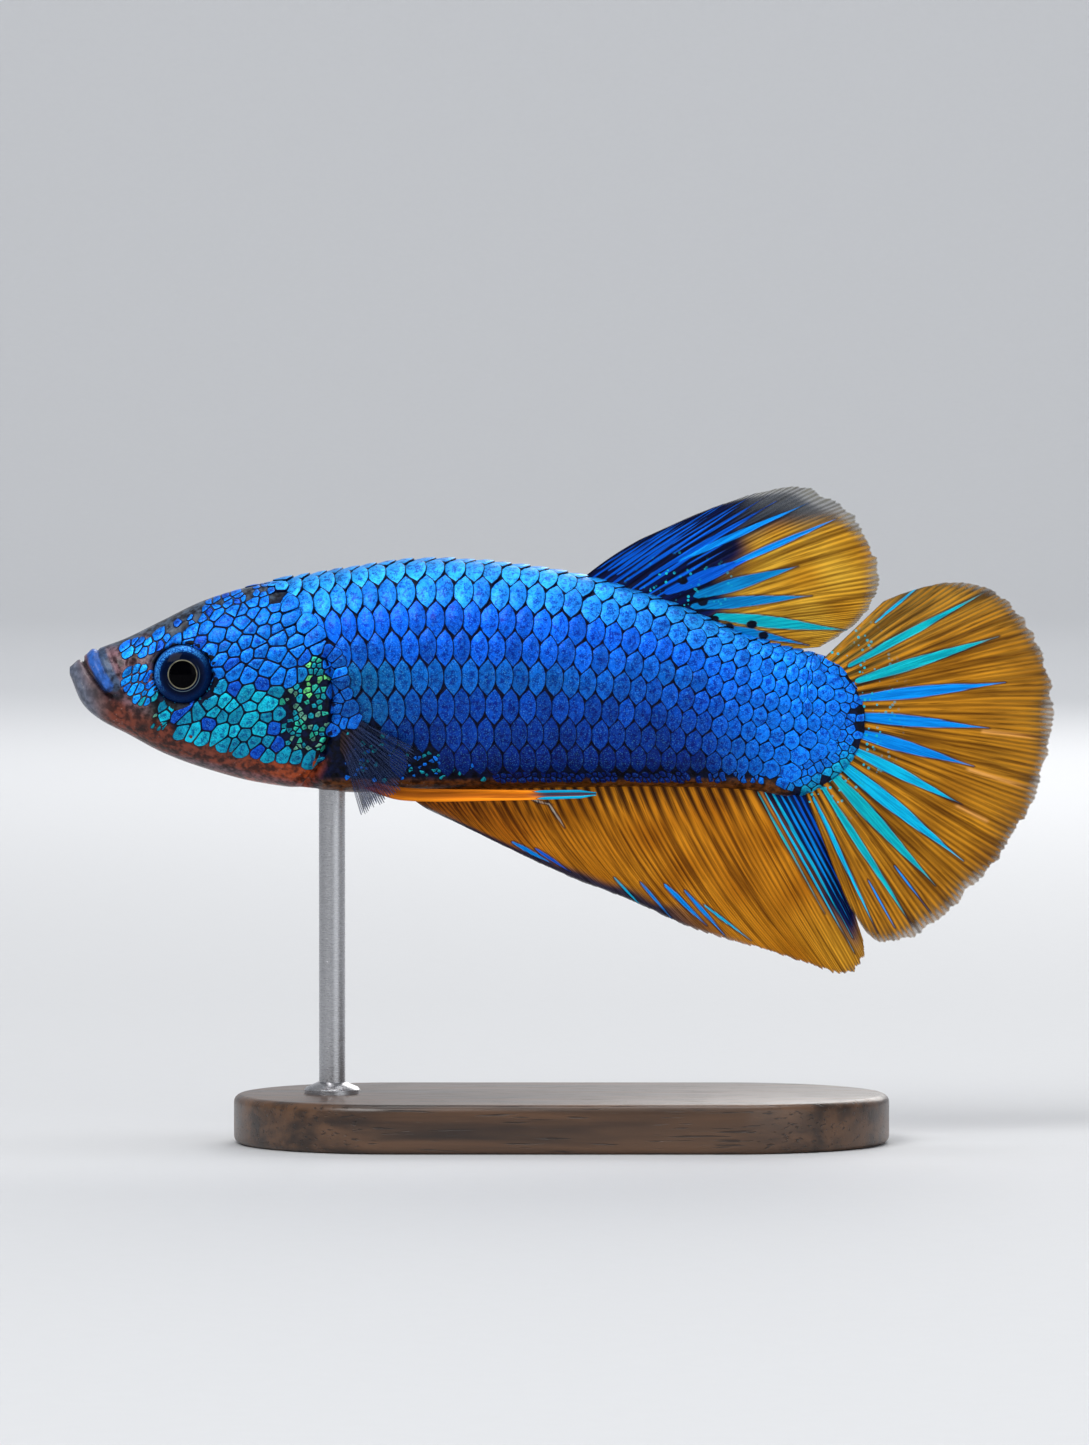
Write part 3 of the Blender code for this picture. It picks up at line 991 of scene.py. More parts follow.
@dataclass
class Skin:
    """One closed skin over head, jaw, gill covers, trunk and tail stalk."""

    surface: BodySurface
    replaces: tuple[str, ...] = (
        "head", "lower_jaw", "gill_cover_left", "gill_cover_right", "trunk", "tail_stalk",
    )
    under_scales: Colour = (0.001, 0.004, 0.024)
    crown: Colour = (0.04, 0.065, 0.105)
    snout: Colour = (0.15, 0.088, 0.11)
    rust: Colour = (0.125, 0.028, 0.015)
    orange: Colour = (0.23, 0.04, 0.009)
    jaw: Colour = (0.15, 0.1, 0.105)
    lip: Colour = (0.022, 0.105, 0.42)
    lip_grey: Colour = (0.045, 0.078, 0.15)
    shadow: Colour = (0.004, 0.006, 0.014)
    sheath: Colour = (0.085, 0.028, 0.006)

    def build(self) -> None:
        """Build the skin."""
        rings, around = len(self.surface.xs), self.surface.around
        bm = bmesh.new()
        bmesh.ops.create_grid(bm, x_segments=rings - 1, y_segments=around, size=0.5)
        colours = self._tints()
        points = self.surface.points
        bare = 1.0 - self.surface.coated(points[..., 0], points[..., 2])
        tint = bm.verts.layers.float_color.new("tint")
        bare_layer = bm.verts.layers.float.new("bare")
        for vert in bm.verts:
            i, j = grid_index(vert, rings - 1, around)
            j %= around
            vert.co = Vector(points[i, j]) * MM
            vert[tint] = (*colours[i, j], 1.0)
            vert[bare_layer] = bare[i, j]
        bmesh.ops.remove_doubles(bm, verts=bm.verts, dist=1e-7)
        ends = [edge for edge in bm.edges if edge.is_boundary]
        bmesh.ops.edgeloop_fill(bm, edges=ends)
        bmesh.ops.recalc_face_normals(bm, faces=bm.faces)
        finished("skin", bm, SkinFinish().build(), self.replaces)

    def _tints(self) -> Array:
        """Colour each grid point, zone by zone.

        Returns:
            The colours.
        """
        surface = self.surface
        x, z = surface.points[..., 0], surface.points[..., 2]
        gill = surface.gill_distance(x, z)
        uneven = 0.25 * wobble(x, z, 0.9)
        head = step(0.4, -0.3, gill)
        on_cover = step(0.9, -0.2, gill)
        front = step(-24.6, -25.4, x + uneven)
        crown = z - straight_curve(HEAD.crown, x) + uneven
        bald = step(-0.8, -0.3, crown)
        throat = step(0.3, -0.3, z - straight_curve(HEAD.throat, x) + uneven)
        grey = straight_curve(((-30.0, 28.5), (-28.2, 25.8), (-24.3, 23.7), (-13.5, 21.3)), x)
        behind_lip = ((-28.3, 30.2), (-27.95, 29.4), (-27.55, 28.6), (-27.2, 28.0))
        layers: list[tuple[Array, Colour]] = [
            (head * bald, self.crown),
            (step(-15.5, -17.5, x) * bald, self.crown),
            (front * step(0.7, -0.2, crown), self.snout),
            (throat * on_cover, self.rust),
            (throat * step(-21.5, -16.5, x + 3 * uneven) * on_cover, self.orange),
            (throat * step(-27.2, -28.6, x + uneven), self.jaw),
            (0.85 * blotch(x, z, (-24.0, 26.35), (1.6, 0.55)), (0.035, 0.04, 0.032)),
            (0.9 * blotch(x, z, (-25.4, 25.5), (0.45, 0.28)), (0.01, 0.005, 0.005)),
            # Painted shadow: a grey spot on the lower jaw.
            (0.7 * blotch(x, z, (-28.4, 27.6), (0.4, 0.5)), (0.035, 0.035, 0.045)),
            (step(0.55, 0.35, distance_to_line(x, z, behind_lip)), self.lip_grey),
            (step(0.42, 0.3, distance_to_line(x, z, surface.upper_lip)), self.lip),
            (blotch(x, z, (-27.15, 27.35), (0.72, 0.42)), self.shadow),
            (0.9 * step(-28.4, -29.4, x + 0.35 * (z - 28.0)), (0.12, 0.155, 0.225)),
            (0.5 * step(0.35, 0.05, np.abs(z - grey)) * head, (0.075, 0.085, 0.125)),
            # Painted shade in the nostril's pit.
            (0.9 * blotch(x, z, (-26.05, 29.35), (0.3, 0.2)), (0.02, 0.012, 0.016)),
            # Painted shade along the mouth's cleft.
            (bell(distance_to_line(x, z, surface.gape), 0.11), (0.006, 0.004, 0.006)),
            (surface.sheath(x, z), self.sheath),
        ]
        return laid_on(self.under_scales, layers)


# ---- Scales ----


@dataclass
class CoatColours:
    """Colour of the scales over the body, from zones in the side view; lighter upwards, partly as painted top
    light, with a painted highlight along the back.
    """

    surface: BodySurface
    navy: Colour = (0.001, 0.015, 0.19)
    royal: Colour = (0.001, 0.054, 0.46)
    azure: Colour = (0.001, 0.1, 0.78)
    # Painted highlight along the top of the back, as from light above.
    sky: Colour = (0.018, 0.29, 0.93)
    head: Colour = (0.002, 0.15, 0.76)
    tail: Colour = (0.002, 0.175, 0.96)
    teal: Colour = (0.002, 0.22, 0.44)
    cyan: Colour = (0.003, 0.38, 0.62)
    stripe: Colour = (0.002, 0.13, 0.52)
    shoulder: Colour = (0.002, 0.1, 0.28)

    def at(self, x: Array, z: Array, chance: Array) -> Array:
        """Colours of scales.

        Args:
            x: places along the fish.
            z: heights.
            chance: a random share for each scale.

        Returns:
            One row of red, green and blue each.
        """
        back = np.interp(x, self.surface.xs, self.surface.back)
        belly = np.interp(x, self.surface.xs, self.surface.belly)
        share = (z - belly) / np.maximum(back - belly, 0.1) + 0.05 * (chance - 0.5)
        head = step(0.3, -0.3, self.surface.gill_distance(x, z))
        low = step(28.6, 27.4, z + 1.3 * (chance - 0.5))
        shoulder = blotch(x, z, (-11.8, 27.6), (2.6, 2.0))
        layers = [
            # The rise from navy at the belly to azure higher up is partly the scales' own colour and partly
            # painted top light and belly shade; the sky band along the top of the back is a painted
            # highlight.
            (step(0.1, 0.5, share), self.royal),
            (step(0.45, 0.76, share), self.azure),
            (step(0.74, 0.98, share), self.sky),
            (0.9 * step(8.0, 14.0, x), self.tail),
            (head, self.head),
            (0.45 * bell(z - 28.6, 0.9) * (1 - head) * step(12.0, 6.0, x), self.stripe),
            (0.8 * shoulder * (1 - head), self.shoulder),
            (head * low, self.teal),
            (head * low * step(0.35, 0.6, chance), self.cyan),
            (head * step(0.84, 0.9, chance), self.royal),
            (0.8 * step(4.4, 5.4, HEAD.tail_radius(x, z)) * step(25.0, 23.0, z), self.cyan),
        ]
        return laid_on(self.navy, layers)


@dataclass
class FlankScales:
    """Overlapping scales in staggered rows from the gill covers to the tail fin.

    Lattice coordinates are c along a row, one step for each scale, and r across the rows, counted
    from the middle of the back and negative on the left side.
    """

    surface: BodySurface
    colours: CoatColours
    rows: int = 20
    start: float = -20.5
    end: float = 18.3
    pitch: Knots = ((-20.5, 0.98), (-12.0, 1.0), (2.0, 1.02), (9.0, 0.92), (14.0, 0.82), (18.4, 0.72))
    row_height: float = 1.7
    tip: float = 0.68
    hidden: float = 1.14
    lift: float = 0.13
    skirt: float = 0.06

    # Shrink, rise and mark of each ring inside a scale's outline.
    rings: tuple[Point, ...] = ((0.955, 0.014, 0.0), (0.9, 0.026, 1.0))

    def __post_init__(self) -> None:
        """Tabulate the places of the scales along a row, and the lean of the lattice."""
        self.fine = np.linspace(self.start, self.end, 800)
        pace = 1.0 / smooth_curve(self.pitch, self.fine)
        self.counts = np.concatenate([[0], np.cumsum((pace[1:] + pace[:-1]) / 2 * np.diff(self.fine))])
        surface = self.surface
        self.middle_slope = np.gradient(surface.middle, surface.xs)
        self.height_slope = np.gradient(surface.half_height, surface.xs)

    def _template(self) -> bpy.types.Mesh:
        """Shape one scale in the plane, in millimetres.

        Returns:
            Its mesh: X along the row, Y across it, Z its height.
        """
        across = np.linspace(-1.0, 1.0, 7)
        outline = [(-0.5 * abs(b) ** 2.4, b) for b in across]
        outline += [(-self.hidden + (self.hidden - 0.5) * abs(b) ** 2.4, b) for b in across[-2:0:-1]]
        outline = [(x, b * self.tip * self.row_height) for x, b in outline]
        bm = bmesh.new()
        rim = bm.verts.layers.float.new("rim")
        bottom = bm.faces.new([bm.verts.new((x, y, -self.skirt)) for x, y in outline])
        made = bmesh.ops.extrude_face_region(bm, geom=[bottom], use_keep_orig=True)["geom"]
        top = next(part for part in made if isinstance(part, BMFace))
        for vert in top.verts:
            vert.co.z = 0.0
        middle = Matrix.Translation((0.5, 0.0, 0.0))
        for shrink, rise, mark in self.rings:
            bmesh.ops.inset_individual(bm, faces=[top], thickness=0.0)
            bmesh.ops.scale(bm, verts=top.verts, vec=(shrink, shrink, 1.0), space=middle)
            for vert in top.verts:
                vert[rim] = mark
                vert.co.z += rise
        for vert in bmesh.ops.poke(bm, faces=[top])["verts"]:
            vert.co.z += 0.045
            vert[rim] = 2.0
        for vert in bm.verts:
            if vert.co.z > -self.skirt / 2:
                vert.co.z += self.lift * (vert.co.x + self.hidden) / self.hidden
        bmesh.ops.recalc_face_normals(bm, faces=bm.faces)
        mesh = bpy.data.meshes.new("scale_template")
        bm.to_mesh(mesh)
        bm.free()
        return mesh

    def _to_flat(self, c: Array, r: Array) -> tuple[Array, Array]:
        """Turn lattice places into flat body coordinates, with columns square to the rows.

        Args:
            c: places along the rows.
            r: rows.

        Returns:
            x and s of the points.
        """
        x = np.interp(c, self.counts, self.fine)
        surface = self.surface
        i, j = surface.grid_place(x, r / self.rows * surface.girth_at(x))
        angle = surface.angles[np.round(i).astype(int), np.round(j).astype(int) % surface.around]
        w = np.cos(angle)
        slopes = (np.interp(x, surface.xs, slope) for slope in (self.middle_slope, self.height_slope))
        lean = next(slopes) * w + next(slopes) * w * w / 2
        shift = np.clip(-np.interp(x, surface.xs, surface.half_height) * lean, -1.6, 1.6)
        x = np.clip(x + shift * step(19.0, 15.0, x), self.start, 18.35)
        return x, r / self.rows * surface.girth_at(x)

    def build(self) -> None:
        """Build the left and the right coat."""
        template = self._template()
        finish = ScaleFinish().build()
        sides = {Side.LEFT: range(-9, 1), Side.RIGHT: range(1, 11)}
        for side, rows in sides.items():
            self._side(side, rows, template, finish)

    def _roots(self, rows: Iterable[int], dice: random.Random) -> Array:
        """Find where one side's scales grow.

        Args:
            rows: the side's rows.
            dice: the source of chance.

        Returns:
            Lattice places, row by row.
        """
        places = np.array([(k + 0.5 * (r % 2), float(r)) for r in rows for k in range(int(self.counts[-1]))])
        middles = self.surface.plain_wrap(*self._to_flat(places[:, 0] - 0.5, places[:, 1]))
        keep = [self._scaled(point[0], point[2], dice.random()) for point in middles]
        return places[np.array(keep)]

    def _scaled(self, x: float, z: float, chance: float) -> bool:
        """Say whether a scale grows at a point of the side view.

        Args:
            x: the place of its middle along the fish.
            z: the height of its middle.
            chance: its random share.

        Returns:
            Whether it grows.
        """
        behind = x > line_at(HEAD.front, z) + 0.35
        on_tail = float(HEAD.tail_radius(x, z)) < HEAD.tail_reach - 0.15
        lit = z > line_at(HEAD.dark, x) or (chance < 0.22 and x > -10.5)
        return behind and on_tail and lit and float(self.surface.sheath(x, z - 0.25)) < 0.5

    def _side(self, side: Side, rows: range, template: bpy.types.Mesh, finish: Material) -> None:
        """Join one side's scales and wrap them on the skin.

        Args:
            side: the flank.
            rows: its rows of the lattice.
            template: one flat scale.
            finish: the material.
        """
        dice = random.Random(40 + side.value)
        roots = self._roots(rows, dice)
        bm = bmesh.new()
        for _ in roots:
            bm.from_mesh(template)
        size = len(template.vertices)
        flat = np.empty(size * 3)
        template.vertices.foreach_get("co", flat)
        flat = np.tile(flat.reshape(-1, 3), (len(roots), 1))
        chance = np.repeat([dice.random() for _ in roots], size)
        jitter = [(dice.gauss(0, 0.03), dice.gauss(0, 0.02), dice.gauss(1, 0.12)) for _ in roots]
        loose = np.repeat(jitter, size, axis=0)
        origin = np.repeat(roots, size, axis=0)
        c = origin[:, 0] + flat[:, 0] + loose[:, 0]
        r = origin[:, 1] + flat[:, 1] / self.row_height + loose[:, 1]
        points = self.surface.wrap(*self._to_flat(c, r), flat[:, 2] * loose[:, 2])
        middles = self.surface.plain_wrap(*self._to_flat(origin[:, 0] - 0.5, origin[:, 1]))
        tints = self.colours.at(middles[:, 0], middles[:, 2], chance)
        under = flat[:, 2] < -self.skirt / 2
        spread = np.where(under, 0.92, 0.84)
        u = origin[:, 0] + 0.5 + (flat[:, 0] / self.hidden + 0.5) * spread
        v = origin[:, 1] - rows[0] + 0.5 + flat[:, 1] / (2 * self.tip * self.row_height) * spread
        chart = np.stack([u / (self.counts[-1] + 1.0), v / len(rows)], axis=-1)
        store_coat(bm, points, chance, tints, chart, under)
        finished(f"flank_scales_{side.label}", bm, finish, sharp=60.0)


def store_coat(
    bm: BMesh, points: Array, chance: Array, tints: Array, chart: Array, under: Array,
) -> None:
    """Write a coat's places in metres, its random shares, its tints and its OFBake map.

    Args:
        bm: the joined mesh.
        points: a point in millimetres for each vertex.
        chance: a random share for each vertex.
        tints: a colour for each vertex.
        chart: a place on the bake map for each vertex.
        under: whether each vertex is on an underside; those faces go to a strip of their own.
    """
    chance_layer = bm.verts.layers.float.new("chance")
    tint_layer = bm.verts.layers.float_color.new("tint")
    for index, vert in enumerate(bm.verts):
        vert.co = Vector(points[index]) * MM
        vert[chance_layer] = chance[index]
        vert[tint_layer] = (*tints[index], 1.0)
    bm.verts.index_update()
    uv = bm.loops.layers.uv.new("OFBake")
    for face in bm.faces:
        lower, height = (0.93, 0.06) if all(under[vert.index] for vert in face.verts) else (0.0, 0.91)
        for loop in face.loops:
            u, v = chart[loop.vert.index]
            loop[uv].uv = (u, lower + height * v)


@dataclass
class Patch:
    """A zone of small plates: where it lies, their radius, the share that grows, colours and gaps."""

    inside: Callable[[float, float], bool]
    radius: float
    share: float = 1.0
    tints: tuple[Colour, ...] = ()
    gap: float = 0.03


@dataclass
class Plate:
    """The seed of one plate, in flat coordinates."""

    x: float
    s: float
    radius: float
    patch: Patch


@dataclass
class HeadPlates:
    """Irregular flat plates on cheeks, snout, nape and the scales' borders, with dark gaps."""

    surface: BodySurface
    colours: CoatColours
    seed: int = 11
    tries: int = 90000
    plan_change: float = 8.0
    plan_top: float = 40.0
    plan_low: float = 21.2
    azure: Colour = (0.006, 0.25, 0.92)
    cobalt: Colour = (0.003, 0.14, 0.78)
    mint: Colour = (0.02, 0.36, 0.28)
    lime: Colour = (0.11, 0.46, 0.15)
    pale: Colour = (0.1, 0.26, 0.2)
    aqua: Colour = (0.004, 0.24, 0.36)
    collar_blue: Colour = (0.002, 0.085, 0.5)

    # Inset, rise and mark of each ring inside a plate's outline.
    rings: tuple[Point, ...] = ((0.024, 0.012, 0.0), (0.04, 0.014, 1.0))

    def off_eye(self, x: float, z: float) -> bool:
        """Clear of the eye and its lid."""
        return math.hypot(x - self.surface.eye_centre[0], z - self.surface.eye_centre[1]) > 2.02

    def cheek(self, x: float, z: float) -> bool:
        """Scaled side of the head."""
        inside = line_at(HEAD.throat, x) + 0.1 < z < line_at(HEAD.crown, x) - 0.05
        return x > -24.6 and inside and self.surface.gill_distance(x, z) < -0.1 and self.off_eye(x, z)

    def patches(self) -> list[Patch]:
        """List the zones, the most particular first.

        Returns:
            The zones.
        """
        gill = self.surface.gill_distance

        def ellipse(x0: float, z0: float, rx: float, rz: float) -> Callable[[float, float], bool]:
            """Zone inside an ellipse and off the eye."""
            return lambda x, z: math.hypot((x - x0) / rx, (z - z0) / rz) < 1.0 and self.off_eye(x, z)

        def speckled(x: float, z: float) -> bool:
            """Black flank behind the pectoral fin."""
            return -13.0 < x < -4.6 and 22.3 < z < line_at(HEAD.dark, x) + 0.2

        def nape(x: float, z: float) -> bool:
            """Between cheek and large scales, over the gill opening."""
            return -24.0 < x < line_at(HEAD.front, z) + 0.5 and 29.5 < z < line_at(HEAD.crown, x) + 0.15

        def collar(x: float, z: float) -> bool:
            """Between the gill opening and the large scales."""
            return gill(x, z) > 0.15 and x < line_at(HEAD.front, z) + 0.5 and 25.4 < z < 29.9 and x < -11.5

        def tail_base(x: float, z: float) -> bool:
            """Behind the last large scales."""
            return HEAD.tail_reach - 0.7 < float(HEAD.tail_radius(x, z)) and x < 18.2

        def between_bars(x: float, z: float) -> bool:
            """Black gaps between the roots of the tail fin's bars.

            Args:
                x: a place along the fish.
                z: a height.

            Returns:
                Whether the point is in a gap.
            """
            turn = math.degrees(math.atan2(z - HEAD.tail[1], x - HEAD.tail[0]))
            aside = min(abs(turn - bar[0]) for bar in CaudalFin.bars if bar[1] < 6.5)
            return float(HEAD.tail_radius(x, z)) > 5.0 + 0.3 * float(wobble(x, z, 0.5)) and aside > 4.7

        def belly_edge(x: float, z: float) -> bool:
            """Narrow border over the anal fin's sheath."""
            return -4.0 < x < 14.0 and 22.2 < z < 22.55 and abs(x - self.plan_change) > 0.3

        def ragged(x: float, z: float) -> bool:
            """Scattered border between scaled cheek and bare crown."""
            near = -0.4 < z - line_at(HEAD.crown, x) < 0.42
            return near and -24.8 < x < line_at(HEAD.front, z) - 0.1 and self.off_eye(x, z)

        strip = ellipse(-14.85, 28.2, 0.62, 1.7)
        speckles = ellipse(-15.6, 25.9, 1.5, 2.2)
        snout_dots = ellipse(-23.7, 26.2, 1.6, 0.9)
        bright = (self.mint, self.lime)
        greens = (self.mint, self.aqua, self.aqua, self.pale)
        return [
            Patch(lambda x, z: gill(x, z) < -0.08 and strip(x, z), 0.2, 0.9, (*bright, self.aqua)),
            Patch(lambda x, z: speckles(x, z) and self.cheek(x, z), 0.17, 0.62, greens),
            Patch(lambda x, z: -0.9 < gill(x, z) < -0.08 and 23.7 < z < 26.2, 0.17, 0.8, bright),
            Patch(ragged, 0.27, 0.6),
            Patch(between_bars, 0.22, 0.0),
            Patch(ellipse(-25.65, 30.25, 0.9, 0.36), 0.25, 1.0, (self.azure, self.cobalt)),
            Patch(ellipse(-25.65, 28.25, 1.0, 0.68), 0.27, 1.0, (self.cobalt, self.azure)),
            Patch(ellipse(-25.25, 27.3, 0.55, 0.36), 0.22, 0.95, (self.azure, self.aqua)),
            Patch(lambda x, z: snout_dots(x, z) and not self.cheek(x, z), 0.13, 0.38, (self.pale, self.aqua)),
            Patch(self.cheek, 0.46, 0.992),
            Patch(nape, 0.42, gap=0.0),
            Patch(collar, 0.34, 0.95, (self.collar_blue, self.collar_blue, self.cobalt), 0.0),
            Patch(speckled, 0.14, 0.33, (self.aqua, self.cobalt)),
            Patch(tail_base, 0.3, gap=-0.01),
            Patch(belly_edge, 0.17, 0.85),
        ]

    def build(self) -> None:
        """Build the left and the right plates."""
        finish = ScaleFinish("head_scales", sparkle=0.07).build()
        for side in Side:
            self._side(side, finish)

    def _unfold(self, x: Array, q: Array) -> tuple[Array, Array]:
        """Turn places of the plates' plan into flat body coordinates.

        Args:
            x: places along the fish.
            q: the flat length s ahead of the change of plan; behind it, depth under the plan's top.

        Returns:
            x and s of the points.
        """
        s = np.array(q, float)
        far = x > self.plan_change
        s[far] = np.sign(q[far]) * self.surface.length_at(x[far], self.plan_top - np.abs(q[far]))
        return x, s

    def _seeds(self, side: Side) -> list[Plate]:
        """Throw seeds that keep their distance.

        Args:
            side: the flank.

        Returns:
            The plates' seeds.
        """
        dice = np.random.default_rng(self.seed)
        x = dice.uniform(-27.2, 18.2, self.tries)
        share = dice.uniform(0.0, 0.94, self.tries)
        behind = self.plan_top - self.plan_low - 10 * share
        s = np.where(x < self.plan_change, share * self.surface.girth_at(x) / 2, behind) * side.value
        points = self.surface.plain_wrap(*self._unfold(x, s))
        grow = dice.uniform(0.75, 1.25, self.tries)
        taken = np.empty((self.tries, 3))
        found: list[Plate] = []
        patches = self.patches()
        for k in range(self.tries):
            patch = next((p for p in patches if p.inside(points[k, 0], points[k, 2])), None)
            if patch is None:
                continue
            radius = patch.radius * grow[k]
            near = taken[: len(found)]
            if np.all(np.hypot(near[:, 0] - x[k], near[:, 1] - s[k]) > 0.8 * (near[:, 2] + radius)):
                taken[len(found)] = (x[k], s[k], radius)
                found.append(Plate(float(x[k]), float(s[k]), radius, patch))
        return found

    def _outline(self, plate: Plate, others: Iterable[Plate]) -> list[Pair]:
        """Cut a round shape back to half a gap from the lines between seeds.

        Args:
            plate: the plate's seed.
            others: the seeds round it.

        Returns:
            Its outline in the plan.
        """
        reach = plate.radius * 1.75
        corners = np.arange(12 if plate.radius > 0.22 else 8)
        turns = corners * math.tau / len(corners)
        ring = [(plate.x + reach * math.cos(a), plate.s + reach * math.sin(a)) for a in turns]
        for other in others:
            dx, ds = other.x - plate.x, other.s - plate.s
            far = math.hypot(dx, ds)
            if far > 1e-6:
                limit = far * plate.radius / (plate.radius + other.radius) - plate.patch.gap / 2
                ring = self._clip(ring, (dx / far, ds / far), plate, limit)
        return self._rounded(ring) if plate.radius > 0.18 else ring

    def _clip(
        self, ring: list[Pair], way: Pair, plate: Plate, limit: float
    ) -> list[Pair]:
        """Cut a convex ring by a straight line.

        Args:
            ring: its corners.
            way: direction square to the line.
            plate: the seed that the line's distance is measured from.
            limit: that distance.

        Returns:
            The part on the seed's side.
        """
        reach = [(x - plate.x) * way[0] + (s - plate.s) * way[1] - limit for x, s in ring]
        kept = []
        for k, (a, b) in enumerate(zip(ring, ring[1:] + ring[:1])):
            da, db = reach[k], reach[(k + 1) % len(ring)]
            if da <= 0:
                kept.append(a)
            if da * db < 0:
                t = da / (da - db)
                kept.append((a[0] + (b[0] - a[0]) * t, a[1] + (b[1] - a[1]) * t))
        return kept

    def _rounded(self, ring: list[Pair]) -> list[Pair]:
        """Cut the corners of a ring once; very short sides become one corner.

        Args:
            ring: its corners.

        Returns:
            The new corners.
        """
        made = []
        for (x0, s0), (x1, s1) in zip(ring, ring[1:] + ring[:1]):
            cuts = (0.5,) if math.hypot(x1 - x0, s1 - s0) < 0.08 else (0.15, 0.85)
            made += [(x0 + (x1 - x0) * t, s0 + (s1 - s0) * t) for t in cuts]
        return made

    def _side(self, side: Side, finish: Material) -> None:
        """Build one side's plates.

        Args:
            side: the flank.
            finish: the material.
        """
        dice = random.Random(self.seed + side.value)
        seeds = self._seeds(side)
        kept = [seed for seed in seeds if dice.random() < seed.patch.share]
        near = kdtree.KDTree(len(seeds))
        for index, seed in enumerate(seeds):
            near.insert((seed.x, seed.s, 0.0), index)
        near.balance()
        bm = bmesh.new()
        owner_layer = bm.verts.layers.float.new("owner")
        bottoms = []
        for number, plate in enumerate(kept):
            found = near.find_range((plate.x, plate.s, 0.0), plate.radius * 3 + 0.7)
            ring = self._outline(plate, (seeds[index] for _, index, _ in found))
            if len(ring) >= 3:
                bottoms.append(bm.faces.new([bm.verts.new((x, s, -0.07)) for x, s in ring]))
                for vert in bottoms[-1].verts:
                    vert[owner_layer] = number
        self._raise(bm, bottoms)
        flat = np.array([vert.co for vert in bm.verts])
        owner = np.array([round(vert[owner_layer]) for vert in bm.verts])
        bm.verts.layers.float.remove(bm.verts.layers.float["owner"])
        centre = np.array([(plate.x, plate.s) for plate in kept])
        shares = np.array([dice.random() for _ in kept])
        middles = self.surface.plain_wrap(*self._unfold(centre[:, 0], centre[:, 1]))
        tints = self.colours.at(middles[:, 0], middles[:, 2], shares)
        for index, plate in enumerate(kept):
            if plate.patch.tints:
                tints[index] = np.array(dice.choice(plate.patch.tints)) * (0.75 + 0.5 * shares[index])
        under = flat[:, 2] < -0.05
        spread = np.where(under, 1.0, 0.93)[:, None]
        chart = centre[owner] + (flat[:, :2] - centre[owner]) * spread
        chart = (chart - chart.min(axis=0)) / np.ptp(chart, axis=0)
        seat = middles[owner]
        ahead = seat[:, 0] - straight_curve(HEAD.front, seat[:, 2])
        flat[:, 2] += np.where(under, 0.0, 0.15 * step(-0.6, 0.3, ahead) * step(-10.0, -11.0, seat[:, 0]))
        points = self.surface.wrap(*self._unfold(flat[:, 0], flat[:, 1]), flat[:, 2])
        store_coat(bm, points, shares[owner], tints[owner], chart, under)
        finished(f"head_scales_{side.label}", bm, finish, sharp=60.0)

    def _raise(self, bm: BMesh, bottoms: list[BMFace]) -> None:
        """Extrude the plates from their undersides and dome their tops.

        Args:
            bm: the mesh.
            bottoms: the undersides.
        """
        rim = bm.verts.layers.float.new("rim")
        made = bmesh.ops.extrude_face_region(bm, geom=bottoms, use_keep_orig=True)["geom"]
        tops = [part for part in made if isinstance(part, BMFace)]
        for vert in {vert for face in tops for vert in face.verts}:
            vert.co.z = 0.035
        for inset, rise, mark in self.rings:
            bmesh.ops.inset_individual(bm, faces=tops, thickness=inset, use_even_offset=False)
            for vert in {vert for face in tops for vert in face.verts}:
                vert.co.z += rise
                vert[rim] = mark
        for vert in bmesh.ops.poke(bm, faces=tops)["verts"]:
            vert.co.z += 0.02
            vert[rim] = 2.0
        bmesh.ops.recalc_face_normals(bm, faces=bm.faces)


# ---- Eyes ----


@dataclass
class Eye:
    """One eyeball, sunk in its socket."""

    side: Side
    surface: BodySurface
    depth: float = 2.16
    bulge: float = 1.0

    def build(self) -> None:
        """Build the eyeball."""
        x, z = self.surface.eye_centre
        radius = self.surface.eye_radius
        bm = bmesh.new()
        turn = Matrix.Rotation(math.pi / 2, 4, "X")
        place = Matrix.Translation(Vector((x, self.side.value * self.depth, z)) * MM)
        size = Matrix.Diagonal((radius * MM, self.bulge * MM, radius * MM, 1.0))
        bmesh.ops.create_uvsphere(bm, u_segments=96, v_segments=64, radius=1.0, matrix=place @ size @ turn)
        bmesh.ops.recalc_face_normals(bm, faces=bm.faces)
        finish = EyeFinish((x, z), radius).build()
        label = f"eye_{self.side.label}"
        finished(label + "_ball", bm, finish, (label,))


# ---- Fins ----


# Depth inside a streak that stands for none being near, in millimetres.
NO_STREAK = -9.0


@dataclass
class Streak:
    """A pointed bar of blue on a fin, straight in the side view."""

    start: Pair
    end: Pair
    width: float
    colour: Colour
    fullest: float = 0.35

    def depth(self, x: Array, z: Array) -> Array:
        """Measure how far inside the bar's edge points lie.

        Args:
            x: places along the fish.
            z: heights.

        Returns:
            The depths, negative outside.
        """
        dx, dz = self.end[0] - self.start[0], self.end[1] - self.start[1]
        length = math.hypot(dx, dz)
        t = ((x - self.start[0]) * dx + (z - self.start[1]) * dz) / length**2
        across = np.abs((x - self.start[0]) * dz - (z - self.start[1]) * dx) / length
        blunt, taper = 0.45 + 0.55 * step(-0.1, self.fullest, t), step(1.02, self.fullest, t) ** 0.8
        swell = np.where(t < self.fullest, blunt, taper)
        past = np.maximum(np.maximum(-t, t - 1.0), 0.0) * length
        return self.width / 2 * swell - across - past


